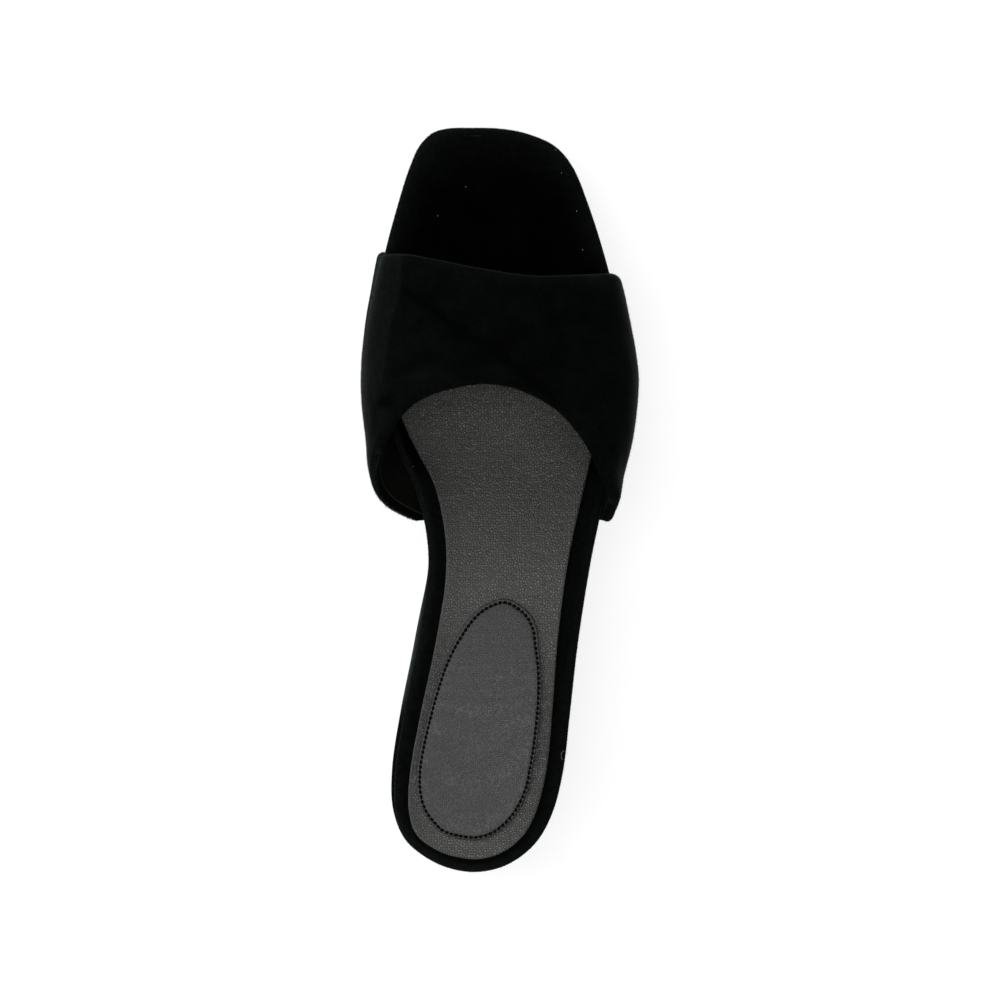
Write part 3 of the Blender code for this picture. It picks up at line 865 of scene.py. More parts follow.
def thread(name, deep, light):
    """Twisted black thread."""
    m = Nodes(name)
    twist = m.noise(0.00018, detail=2.0)
    return m.finish(
        Base_Color=m.mixed(m.ranged(twist, 0.3, 0.7), deep, light),
        Roughness=m.ranged(twist, 0.2, 0.8, 0.6, 0.8),
        Specular_IOR_Level=0.05,
        Normal=m.bump(twist, 0.00005),
    )


def fibre(name, deep, light):
    """Pile hairs: dark at the root's tone, lighter where light catches them."""
    m = Nodes(name)
    tone = m.noise(0.0007, detail=2.0)
    return m.finish(
        Base_Color=m.mixed(m.ranged(tone, 0.3, 0.7), deep, light),
        Roughness=m.ranged(tone, 0.2, 0.8, 0.8, 0.95),
        Specular_IOR_Level=0.0,
        Sheen_Weight=0.08,
        Sheen_Roughness=0.4,
        Sheen_Tint=(0.76, 0.97, 0.98, 1.0),
    )


BAND_PILE = {
    "deep": (0.0007, 0.0009, 0.0008),
    "light": (0.0036, 0.0042, 0.0039),
    "uneven": 0.55,
    "sheen_roughness": 0.32,
}
BAND_VELVET = velvet("band_velvet_pile", sheen=0.060, highlight_gain=3.0, **BAND_PILE)
# The turned-in pile, pressed flat, takes a copy of the band velvet with less sheen: painted shade inside
# the roll.
TURNED_SHADED_VELVET = velvet("turned_velvet_shaded_pile", sheen=0.022, **BAND_PILE)
FOOTBED_VELVET = velvet(
    "footbed_velvet_pile",
    deep=(0.0001, 0.0001, 0.0001),
    light=(0.0102, 0.0116, 0.0112),
    uneven=0.07,
    sheen=0.055,
    sheen_roughness=0.30,
)
# The wedge's light colour is the painted highlight of the strip high on its inner side.
WEDGE_VELVET = velvet(
    "wedge_velvet_pile",
    deep=(0.0006, 0.0007, 0.0007),
    light=(0.0430, 0.0500, 0.0530),
    uneven=0.05,
    sheen=0.080,
    sheen_roughness=0.32,
)
LINING = lining_leather("band_lining_leather")
SOCK_LEATHER = leather(
    "sock_pebbled_leather",
    deep=(0.0019, 0.0019, 0.0015),
    light=(0.0442, 0.0442, 0.0405),
    edge=(0.030, 0.030, 0.027),
    pebble=0.00082,
    height=0.00017,
)
PAD_LEATHER = leather(
    "pad_fine_leather",
    deep=(0.0068, 0.0068, 0.0066),
    light=(0.0352, 0.0352, 0.0346),
    edge=(0.0070, 0.0070, 0.0066),
    pebble=0.00062,
    height=0.00010,
)
SOLE_RUBBER = rubber("sole_black_rubber")
BLACK_THREAD = thread("stitch_thread", (0.0001, 0.0001, 0.0001), (0.0006, 0.0006, 0.0006))
PILE_FIBRE = fibre("pile_fibre", (0.0007, 0.0010, 0.0010), (0.0040, 0.0052, 0.0052))
TUFT_FIBRE = fibre("tuft_fibre", (0.0022, 0.0030, 0.0031), (0.0120, 0.0150, 0.0155))
LINT_FIBRE = fibre("lint_fibre", (0.12, 0.12, 0.12), (0.40, 0.40, 0.38))


def foot_plan(loop, inset):
    """The plan of the wedge's foot, moved in by an inset: the wall rakes in at the heel and the toe."""
    plan = grown(loop, -WALL_INSET * side_values(loop, WEDGE_SIDE, 3, 4) - inset)
    along = along_at(plan[:, 1])
    pull = HEEL_RAKE * np.maximum((0.25 - along) / 0.25, 0.0) ** 2
    pull -= TOE_RAKE * np.maximum((along - 0.75) / 0.25, 0.0) ** 2
    plan[:, 1] += pull
    return plan


def round_steps(count):
    """Shares of a quarter circle: how far in and how far up each step is, from 1, 0 to 0, 1."""
    turns = np.linspace(0, 0.5 * math.pi, count + 1)
    return [(1 - math.sin(t), 1 - math.cos(t)) for t in turns]


def make_outsole():
    """The thin rubber sole, with a fine groove round its side and a grooved tread below."""
    loop = footbed_loop(150)

    def tread(x, y):
        ribs = zigzag(y / TREAD_PITCH + 0.35 * zigzag(x / TREAD_ZIGZAG))
        return sole_bottom(x, y) + TREAD_DEPTH * ramp(ribs, 0.62, 0.82)

    def top(x, y):
        return sole_bottom(x, y) + OUTSOLE_THICKNESS

    rings = [raised(foot_plan(loop, OUTSOLE_INSET + 0.004), sole_bottom)]
    for inward, up in round_steps(4):
        plan = foot_plan(loop, OUTSOLE_INSET + OUTSOLE_EDGE * inward)
        rings.append(raised(plan, lambda x, y: sole_bottom(x, y) + OUTSOLE_EDGE * up))
    for up, inward in SOLE_GROOVE:
        plan = foot_plan(loop, OUTSOLE_INSET + inward)
        rings.append(raised(plan, lambda x, y: sole_bottom(x, y) + up))
    rings.append(raised(foot_plan(loop, OUTSOLE_INSET + 0.0002), top))
    shape = Shape()
    grid = shape.loft(rings)
    shape.cap(grid[0], tread, 60)
    shape.cap(grid[-1], top, 6)
    piece = shape.piece("outsole_cover", [SOLE_RUBBER])
    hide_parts("outsole")


def band_base_range(around):
    """The Y range of the band's base on the inner (-1) or the outer (1) side, back first."""
    return (
        length_at(smooth_value(BAND_BACK_EDGE, around, 1)),
        length_at(smooth_value(BAND_FRONT_EDGE, around, 1)),
    )


def make_wedge():
    """The wedge in its velvet; a pocket along each side of its top takes the band's lasted edge."""
    slope = 2 * CLEARANCE
    ranges = [band_base_range(-1.0), band_base_range(1.0)]
    offsets = slope * np.array([2, 1])
    extras = [(*(back - offsets), *(front + offsets[::-1])) for back, front in ranges]
    loop = footbed_loop(230, *extras)
    inner = np.arange(len(loop)) <= len(loop) // 2
    back = np.where(inner, ranges[0][0], ranges[1][0])
    front = np.where(inner, ranges[0][1], ranges[1][1])
    pocketed = (loop[:, 1] > back - 1.5 * slope) & (loop[:, 1] < front + 1.5 * slope)

    def sole_top(x, y):
        return sole_bottom(x, y) + OUTSOLE_THICKNESS + CLEARANCE

    def top(x, y):
        return footbed_top(x, y) - FOOTBED_THICKNESS - CLEARANCE * slope_stretch(y)

    def pocket_floor(x, y):
        return footbed_top(x, y) - FOOTBED_THICKNESS - (2 * CLEARANCE + BAND_WALL) * slope_stretch(y)

    def upper_ring(amount, drop, cut=True):
        plan = grown(loop, amount)
        heights = top(plan[:, 0], plan[:, 1])
        if cut:
            heights = np.where(pocketed, pocket_floor(plan[:, 0], plan[:, 1]), heights)
        return np.column_stack([plan, heights - drop])

    reveal = WEDGE_REVEAL * side_values(loop, WEDGE_SIDE, 1, 2)
    rings = []
    for inward, up in round_steps(4):
        plan = foot_plan(loop, PLATFORM_EDGE * inward)
        rings.append(raised(plan, lambda x, y: sole_top(x, y) + PLATFORM_EDGE * up))
    lower = rings[-1]
    rim = upper_ring(reveal, PLATFORM_EDGE, cut=False)
    # The solid's ring at 0.35 of the wall lies at 0.91 of the full hollow.
    hollow = WALL_HOLLOW / 0.91
    for share in np.linspace(0, 1, 17)[1:-1]:
        wall = lower + (rim - lower) * share
        outward = np.column_stack([plan_normals(wall[:, :2]), np.zeros(len(loop))])
        rings.append(wall - outward * hollow * 4 * share * (1 - share))
    for inward, up in round_steps(5):
        rings.append(upper_ring(reveal - PLATFORM_EDGE * up, PLATFORM_EDGE * inward))
    pocket_width = LASTING_MARGIN + 2 * CLEARANCE
    rings.append(upper_ring(-pocket_width, 0.0))
    rings.append(raised(grown(loop, -pocket_width - CLEARANCE), top))
    shape = Shape()
    grid = shape.loft(rings)
    shape.cap(grid[0], sole_top, 6)
    shape.cap(grid[-1], top, 8)
    points = np.concatenate(shape.points)
    below = top(points[:, 0], points[:, 1]) - points[:, 2]
    along = along_at(points[:, 1])
    # Painted highlight: the strip high on the inner side is drawn light, and the pile a little lighter
    # near the top.
    painted_strip = bell(below, STRIP_DROP, STRIP_WIDTH) * (points[:, 0] < -0.018)
    painted_strip *= ramp(along, STRIP_START, STRIP_START + 0.04) * ramp(along, STRIP_END, STRIP_END - 0.06)
    nap_and_painted_light = 0.04 * bell(below, 0.001, 0.003) + STRIP_HIGHLIGHT * painted_strip
    piece = shape.piece("wedge_cover", [WEDGE_VELVET], {"nap_and_painted_light": nap_and_painted_light})
    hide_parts("platform")


def make_footbed():
    """The velvet over the footbed, with its rounded edge."""
    loop = footbed_loop(300)
    steps = 14
    rings = []
    for step in range(steps + 1):
        angle = math.pi * (step / steps - 0.5)
        drop = 0.5 * FOOTBED_THICKNESS * (1 - math.sin(angle))
        plan = grown(loop, -FOOTBED_EDGE * (1 - math.cos(angle)))
        rings.append(raised(plan, lambda x, y: footbed_top(x, y) - drop))
    shape = Shape()
    grid = shape.loft(rings)
    shape.cap(grid[0], lambda x, y: footbed_top(x, y) - FOOTBED_THICKNESS, 8)
    shape.cap(grid[-1], footbed_top, 60)
    points = np.concatenate(shape.points)
    x, y = points[:, 0], points[:, 1]
    along = along_at(y)
    from_side = np.minimum(x - edge_x(INNER_SIDE, y), edge_x(OUTER_SIDE, y) - x)
    # The pile is drawn lighter from the waist back. Near the toe's tip and edges, round the rim and on
    # the crest at the inner waist, it carries painted highlights.
    nap_and_painted_light = 0.22 * ramp(along, 0.56, 0.52) + 0.24 * ramp(along, 0.92, 1.0)
    nap_and_painted_light += 0.26 * bell(from_side, 0.0, 0.006) * ramp(along, 0.80, 0.84)
    along = along_at(loop[:, 1])
    lift = side_values(loop, RIM_HIGHLIGHT, 1, 2)
    inner = np.arange(len(loop)) < len(loop) // 2
    crest_highlight = CREST_HIGHLIGHT * inner * bell(along, CREST_PLACE, CREST_REACH)
    for row, share in enumerate(RIM_SHARES, steps // 2):
        toe_held = 1.0 if row < 12 else 0.3
        nap_and_painted_light[grid[row]] += share * lift * np.where(along > 0.85, toe_held, 1.0)
        if row < 13:
            nap_and_painted_light[grid[row]] += share * crest_highlight
    piece = shape.piece("footbed_cover", [FOOTBED_VELVET], {"nap_and_painted_light": nap_and_painted_light})
    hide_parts("footbed")
    return np.stack(rings)


def leather_top(base):
    """The height function of a lift off the footbed."""
    return lambda lift: lambda x, y: footbed_top(x, y) + (base + lift) * slope_stretch(y)


def sock_edge_x(side, y):
    """X of the sock's edge at y, on the footbed's inner or outer side."""
    column, inward = (1, 1) if side is INNER_SIDE else (2, -1)
    return edge_x(side, y) + inward * SOCK_MARGIN * smooth_value(SOCK_INSET, along_at(y), column)


def sock_painted_light(points):
    """Painted light and shade: how much lighter or darker than its own colour the sock is drawn at each
    point.

    Painted shade lies along its inner edge, and painted light along its outer edge beside the heel and
    in a ring round the back of the heel pad.
    """
    x, y = points[:, 0], points[:, 1]
    from_inner, from_outer = x - sock_edge_x(INNER_SIDE, y), x - sock_edge_x(OUTER_SIDE, y)
    pad = loop_of(*(at_shares(side, np.linspace(0, 1, 80)) for side in pad_sides()))
    from_pad, _ = path_distance(points[:, :2], np.concatenate([pad, pad[:1]]))
    tone = smooth_value([(row_y * MM, value) for row_y, value in SOCK_PAINTED_LIGHT], y, 1)
    tone -= 0.44 * bell(from_inner, 0.0, 0.0052) * (y < 0.022)
    tone -= 0.22 * bell(from_inner, 0.0, 0.010) * bell(y, -0.046, 0.014)
    tone += 0.35 * bell(from_outer, 0.0, 0.007) * bell(y, -0.053, 0.016)
    return tone + 0.50 * bell(from_pad, 0.0, 0.0022) * ramp(y, -0.088, -0.096)


def make_sock():
    """The pebbled leather sock, with a raw cut edge; its front edge lies under the band."""
    loop = footbed_loop(300)
    plan = grown(loop, -SOCK_MARGIN * side_values(loop, SOCK_INSET, 1, 2))
    half = len(plan) // 2
    front = length_at(SOCK_FRONT)
    inner = plan[: half + 1]
    outer = np.concatenate([plan[:1], plan[:half:-1]])
    corners = []
    for side in (inner, outer):
        kept = side[side[:, 1] < front - SOCK_MARGIN]
        corners.append([Vector(p) for p in kept[::8]])
    tip = corners[0][-1].lerp(corners[1][-1], 0.5)
    tip.y = front + SOCK_FRONT_BOW
    for side in corners:
        corner = side[-1].lerp(tip, 0.04)
        shoulder = side[-1].lerp(tip, 0.45)
        corner.y = front
        shoulder.y = front + 0.8 * SOCK_FRONT_BOW
        side += [corner, shoulder, tip]
    count = min(len(side) for side in corners)
    inner, outer = two_sides(*(side[:1] + side[len(side) - count + 1 :] for side in corners))
    shares = end_weighted_shares(280, 0.3)
    loop = loop_of(at_shares(inner, shares), at_shares(outer, shares))
    lift = leather_top(CLEARANCE)
    rings = [raised(loop, lift(0.0))]
    for inward, up in SOCK_PROFILE:
        rings.append(raised(grown(loop, -inward), lift(SOCK_THICKNESS + up)))
    shape = Shape()
    grid = shape.loft(rings)
    shape.cap(grid[0], lift(0.0), 6)
    shape.cap(grid[-1], lift(SOCK_THICKNESS), 60)
    cut = np.zeros(shape.count)
    cut[grid[1:3].ravel()] = 1.0
    # Painted light and shade on the sock, carried by the attribute tone.
    tone = sock_painted_light(np.concatenate(shape.points))
    piece = shape.piece("sock_cover", [SOCK_LEATHER], {"cut": cut, "tone": tone})
    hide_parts("sock")


def pad_sides():
    """The heel pad's plan as two fine curves from its back to its front."""
    back = Vector((PAD_BACK[0] * HEEL_WIDTH, length_at(PAD_BACK[1])))
    front = Vector((PAD_FRONT[0] * HEEL_WIDTH, length_at(PAD_FRONT[1])))
    forward = (front - back).normalized()
    across = Vector((forward.y, -forward.x)) * PAD_WIDTH
    inner = [back.lerp(front, t) + across * a for t, a, _ in PAD_OUTLINE]
    outer = [back.lerp(front, t) + across * b for t, _, b in PAD_OUTLINE]
    return two_sides(inner, outer)


def pad_lift():
    return leather_top(2 * CLEARANCE + SOCK_THICKNESS)


def stitch_inset(loop):
    """How far the stitches lie in from the pad's edge: a little more round its front."""
    share = (loop[:, 1] - loop[:, 1].min()) / np.ptp(loop[:, 1])
    return STITCH_INSET + (STITCH_INSET_FRONT - STITCH_INSET) * eased(ramp(share, 0.72, 0.92))


def make_heel_pad():
    """The heel pad: a crowned layer of finer leather, pressed down along its stitches."""
    shares = end_weighted_shares(200)
    loop = loop_of(*(at_shares(side, shares) for side in pad_sides()))
    inset = stitch_inset(loop)
    lift = pad_lift()
    rings = [raised(loop, lift(0.0))]
    for share, up in PAD_PROFILE:
        rings.append(raised(grown(loop, -share * inset), lift(PAD_THICKNESS + up)))
    shape = Shape()
    grid = shape.loft(rings)
    shape.cap(grid[0], lift(0.0), 6)
    shape.cap(grid[-1], lift(PAD_THICKNESS + PAD_PROFILE[-1][1]), 44)
    cut = np.zeros(shape.count)
    cut[grid[0:3].ravel()] = 1.0
    # The stitch groove is drawn a quarter of the way to the dark edge colour: painted shade in the
    # groove.
    cut[grid[7].ravel()] = 0.25
    piece = shape.piece("heel_pad_cover", [PAD_LEATHER], {"cut": cut})
    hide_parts("heel_pad")
    return loop, inset


def make_stitches(loop, inset):
    """A row of short slanted stitches, sunk in the heel pad's groove."""
    line = grown(loop, -inset)
    line = np.concatenate([line, line[:1]])
    count = int(round(arc_lengths(line)[-1] / STITCH_PITCH))
    centres = at_shares(line, (np.arange(count) + 0.5) / count)
    tangents = unit(np.roll(centres, -1, axis=0) - np.roll(centres, 1, axis=0))
    heights = pad_lift()(PAD_THICKNESS - STITCH_SINK)(centres[:, 0], centres[:, 1])
    rng = np.random.default_rng(11)
    shape = Shape()
    turns = 2 * math.pi * np.arange(8) / 8
    for centre, height, (x, y) in zip(centres, heights, tangents):
        slant = math.radians(STITCH_SLANT + rng.normal(0, 3))
        c, s = math.cos(slant), math.sin(slant)
        ahead = np.array([c * x - s * y, s * x + c * y, 0.0])
        aside = np.array([-ahead[1], ahead[0], 0.0])
        length = STITCH_LENGTH * (1 + rng.normal(0, 0.04))
        rings = []
        for angle in math.pi * (np.arange(8) / 7 - 0.5):
            girth = 0.5 * STITCH_WIDTH * math.cos(angle) ** 0.6
            middle = np.array([*centre, height]) + ahead * 0.5 * length * math.sin(angle)
            ring = middle + np.outer(np.cos(turns) * girth, aside)
            ring[:, 2] += np.sin(turns) * girth * 0.75 - 0.00016 * math.sin(angle) ** 2
            rings.append(ring)
        shape.loft(rings)
    piece = shape.piece("pad_stitches", [BLACK_THREAD])


def footbed_side(around):
    """The footbed's side that a share of the way round the band belongs to."""
    return INNER_SIDE if around < 0 else OUTER_SIDE


def lean(around, y):
    """The angle at which the band leaves the footbed's edge: lower where it flares more."""
    flare = smooth_value(BAND_SECTIONS, along_at(y), 1 if around < 0 else 2)
    return np.radians(8 - 55 * np.clip(flare - 0.25, 0.0, 1.0))


def base_points(around, y, reach, lift):
    """Points out from the footbed's edge by reach, and up by lift from the middle of its edge."""
    side = footbed_side(around)
    start = np.stack([edge_x(side, y), y, np.zeros_like(y)], axis=-1)
    points = start + edge_normal(side, y) * np.reshape(reach, (-1, 1))
    points[:, 2] = footbed_top(points[:, 0], points[:, 1]) - 0.5 * FOOTBED_THICKNESS + lift
    return points


def band_drop(y):
    """How far the band's outside lies below the middle of the footbed's edge where it is lasted."""
    return 0.5 * FOOTBED_THICKNESS + (CLEARANCE + BAND_WALL) * slope_stretch(y)


def turn_points(around, y, share):
    """Points on the turn, from underneath the footbed (0) to where the band's wall starts (1)."""
    under = -0.5 * math.pi
    angle = under + (lean(around, y) - under) * share
    across = (FOOTBED_EDGE + 2 * CLEARANCE + BAND_WALL) * np.cos(angle) - FOOTBED_EDGE
    return base_points(around, y, across, band_drop(y) * np.sin(angle))


def lasted_points(around, y, share):
    """Points under the footbed, from the end of the lasted edge (0) to the turn (1)."""
    reach = -LASTING_MARGIN + (LASTING_MARGIN - FOOTBED_EDGE) * share
    return base_points(around, y, np.full_like(y, reach), -band_drop(y))


def wall_points(around, y):
    """The band's outside at a share of the way round, for an array of y."""
    side = -1.0 if around <= 0 else 1.0
    along = along_at(y)
    seat = footbed_top(0, y)
    crown = seat + smooth_value(BAND_SECTIONS, along, 3) * INSTEP_HEIGHT
    widest = seat + smooth_value(BAND_SECTIONS, along, 4) * INSTEP_HEIGHT
    left = edge_x(INNER_SIDE, y) - smooth_value(BAND_SECTIONS, along, 1) * BAND_FLARE
    right = edge_x(OUTER_SIDE, y) + smooth_value(BAND_SECTIONS, along, 2) * BAND_FLARE
    start = turn_points(side, y, 1.0)
    angle = lean(side, y)
    leaving = edge_normal(footbed_side(side), y) * -np.sin(angle)[:, None]
    leaving[:, 2] = np.cos(angle)
    wide = np.stack([left if side < 0 else right, y, widest], axis=-1)
    crest_x = left + CROWN_SHARE * (right - left)
    reach = 0.42 * np.linalg.norm(wide - start, axis=1, keepdims=True)
    a = start + leaving * reach
    b = wide - np.array([0.0, 0.0, 1.0]) * reach
    t = (np.arange(32) / 32)[None, :, None]
    low = (
        start[:, None] * (1 - t) ** 3
        + a[:, None] * 3 * t * (1 - t) ** 2
        + b[:, None] * 3 * t * t * (1 - t)
        + wide[:, None] * t**3
    )
    power = 2 / CROWN_SQUARENESS
    turn = 0.5 * math.pi * np.arange(97) / 96
    x = crest_x[:, None] + (wide[:, :1] - crest_x[:, None]) * np.maximum(np.cos(turn), 0.0) ** power
    z = wide[:, 2:] + (crown - widest)[:, None] * np.sin(turn) ** power
    high = np.stack([x, np.broadcast_to(y[:, None], x.shape), z], axis=-1)
    curve = np.concatenate([low, high], axis=1)
    steps = np.linalg.norm(np.diff(curve, axis=1), axis=2)
    lengths = np.concatenate([np.zeros((len(y), 1)), np.cumsum(steps, axis=1)], axis=1)
    target = (1 - abs(around)) * lengths[:, -1]
    i = np.clip((lengths <= target[:, None]).sum(axis=1) - 1, 0, lengths.shape[1] - 2)
    rows = np.arange(len(y))
    share = (target - lengths[rows, i]) / (lengths[rows, i + 1] - lengths[rows, i])
    return curve[rows, i] + (curve[rows, i + 1] - curve[rows, i]) * share[:, None]


def band_columns(count):
    """The band's columns from the inner to the outer lasted edge: way round, and points at y."""
    low = [(lasted_points, share) for share in (0.0, 0.5)]
    low += [(turn_points, share) for share in np.linspace(0, 1, 10)[:-1]]

    def placed(around, row):
        function, share = row
        return around, lambda y: function(around, y, share)

    columns = [placed(-1.0, row) for row in low]
    for around in np.linspace(-1, 1, count):
        columns.append((around, lambda y, around=around: wall_points(around, y)))
    return columns + [placed(1.0, row) for row in reversed(low)]


def path_distance(points, path):
    """Distance of plan points from a path, signed by side, and the share of the path passed."""
    best = np.full(len(points), 1e9)
    share = np.zeros(len(points))
    sign = np.ones(len(points))
    lengths = arc_lengths(path)
    for k in range(len(path) - 1):
        step = path[k + 1] - path[k]
        t = np.clip((points - path[k]) @ step / (step @ step), 0, 1)
        away = points - (path[k] + t[:, None] * step)
        distance = np.linalg.norm(away, axis=1)
        near = distance < best
        best[near] = distance[near]
        share[near] = (lengths[k] + t[near] * (lengths[k + 1] - lengths[k])) / lengths[-1]
        sign[near] = np.sign(step[0] * away[near, 1] - step[1] * away[near, 0])
    return best * sign, share


def swell(points, size, seed):
    """Soft noise at each point, from -1 to 1."""
    shift = Vector((seed * 3.7, seed * 1.3, seed * 2.9))
    return np.array([noise.noise(Vector(p) / size + shift) for p in points])


def from_trough(points):
    """Each point's distance from the trough's line, the share of it passed, and its width there."""
    path = MM * np.array(TROUGH)[:, :2]
    away, share = path_distance(points[:, :2], path)
    lengths = arc_lengths(path) / arc_lengths(path)[-1]
    return away, share, np.interp(share, lengths, MM * np.array(TROUGH)[:, 2])


def past_shoulder(points):
    """How far each point lies past the band's inner shoulder, to its side."""
    return smooth_value(MM * np.array(SHOULDER), points[:, 1], 1) - points[:, 0]


def band_relief(points):
    """How far the band's outside rises or sinks: the long trough, the shoulder and soft waves."""
    x, y = points[:, 0], points[:, 1]
    away, share, width = from_trough(points)
    fade = TROUGH_DEPTH * ramp(share, 0.0, 0.05) * ramp(share, 1.0, 0.85)
    trough = -fade * bell(away, 0.0, width)
    ridge = 0.35 * fade * bell(away, 2.4 * width, 1.5 * width)
    reach = np.maximum(past_shoulder(points), 0) / SHOULDER_WIDTH
    shoulder = -SHOULDER_DEPTH * ramp(y, 0.034, 0.042) * reach * np.exp(1 - reach)
    waves = 0.00014 * swell(points, 0.013, 1.0) + 0.00007 * swell(points, 0.005, 2.0)
    crushed = 0.00022 * bell(x, -0.038, 0.006) * bell(y, 0.025, 0.012) * swell(points, 0.0026, 3.0)
    return trough + ridge + shoulder + waves + crushed


def band_nap_and_painted_light(points, to_front, to_back):
    """How light the band is drawn at each point, 0 being the pile as it hangs: pile marks, painted light
    and shade, painted shade in the trough and along the back edge, and painted highlights past the inner
    shoulder and along the front edge.
    """
    x, y = points[:, 0], points[:, 1]
    nap_and_painted_light = np.zeros(len(points))
    for mark_x, mark_y, reach_x, reach_y, turn, amount in PILE_AND_LIGHT_MARKS:
        dx, dy = x - mark_x * MM, y - mark_y * MM
        c, s = math.cos(math.radians(turn)), math.sin(math.radians(turn))
        u, v = (c * dx + s * dy) / (reach_x * MM), (-s * dx + c * dy) / (reach_y * MM)
        nap_and_painted_light += amount * np.exp(-(u * u + v * v) ** 1.4)
    # Painted shade in the trough's crease; painted highlight past the inner shoulder and on the front
    # edge's roll; painted shade on the back edge's roll.
    away, share, width = from_trough(points)
    fade = np.clip(share / 0.02, 0.3, 1) * ramp(share, 1.0, 0.90)
    nap_and_painted_light -= fade * (0.9 * bell(away, 0.0, width) + 0.25 * bell(away, 0.0, 0.0035))
    nap_and_painted_light += 0.8 * eased(ramp(past_shoulder(points), -0.0012, 0.0014)) * ramp(y, 0.030, 0.040)
    nap_and_painted_light += 0.55 * bell(to_front, 0.0, 0.0030) - 0.30 * bell(to_back, 0.0, 0.0016)
    patches = swell(points, 0.0045, 5.0) * 0.22 + swell(points, 0.0018, 6.0) * 0.12
    near_corner = bell(x, -0.037, 0.008) * bell(y, 0.024, 0.014)
    return nap_and_painted_light + patches * (0.5 + 1.6 * near_corner)


def on_columns(columns, rows_y):
    """Points on the band's outside, at each column's own y values."""
    return np.array([points(y) for (_, points), y in zip(columns, rows_y)])


def edge_steps(columns, edge_y, inside_y):
    """Metres of y for each metre square to the band's edge, for each column at one edge."""
    edge, inside = (on_columns(columns, y[:, None])[:, 0] for y in (edge_y, inside_y))
    climb = np.linalg.norm(np.cross(unit(np.gradient(edge, axis=0)), inside - edge), axis=1)
    return np.abs(inside_y - edge_y) / np.maximum(climb, 1e-6)


class BandSheet:
    """The band's outside as a sheet: its columns, where they start and end, and its normals."""

    def __init__(self):
        self.columns = band_columns(400)
        self.around = np.array([around for around, _ in self.columns])
        off_base = np.clip((np.arange(len(self.columns)) - 2) / 9, 0, 1)
        inner_low = ramp(self.around, -0.70, -0.90) * off_base
        outer_low = ramp(self.around, 0.86, 1.0) * off_base[::-1]
        back = length_at(smooth_value(BAND_BACK_EDGE, self.around, 1))
        front = length_at(smooth_value(BAND_FRONT_EDGE, self.around, 1))
        back += OUTER_BACK_DRAW * outer_low + INNER_BACK_DRAW * inner_low
        front += INNER_FRONT_REACH * inner_low + OUTER_FRONT_REACH * outer_low
        step = 0.0012
        self.at_back = edge_steps(self.columns, back, back + step)[:, None]
        self.at_front = edge_steps(self.columns, front, front - step)[:, None]
        self.rows = np.linspace(back, front, 70, axis=1)
        self.back, self.front = back[:, None], front[:, None]
        self.normals = grid_normals(on_columns(self.columns, self.rows))
        if self.normals[len(self.columns) // 2, self.rows.shape[1] // 2, 2] < 0:
            self.normals = -self.normals

    def span(self, inset, shares):
        """Y at shares of the way from the back edge to the front edge, with an inset from both."""
        low, high = self.back + self.at_back * inset, self.front - self.at_front * inset
        return low + (high - low) * shares

    def points(self, rows_y):
        """The outside's points at each column's y values, and the unit normals there."""
        facing = np.stack([
            [np.interp(*row) for row in zip(rows_y, self.rows, self.normals[..., k])] for k in range(3)
        ], axis=-1)
        return on_columns(self.columns, rows_y), unit(facing)


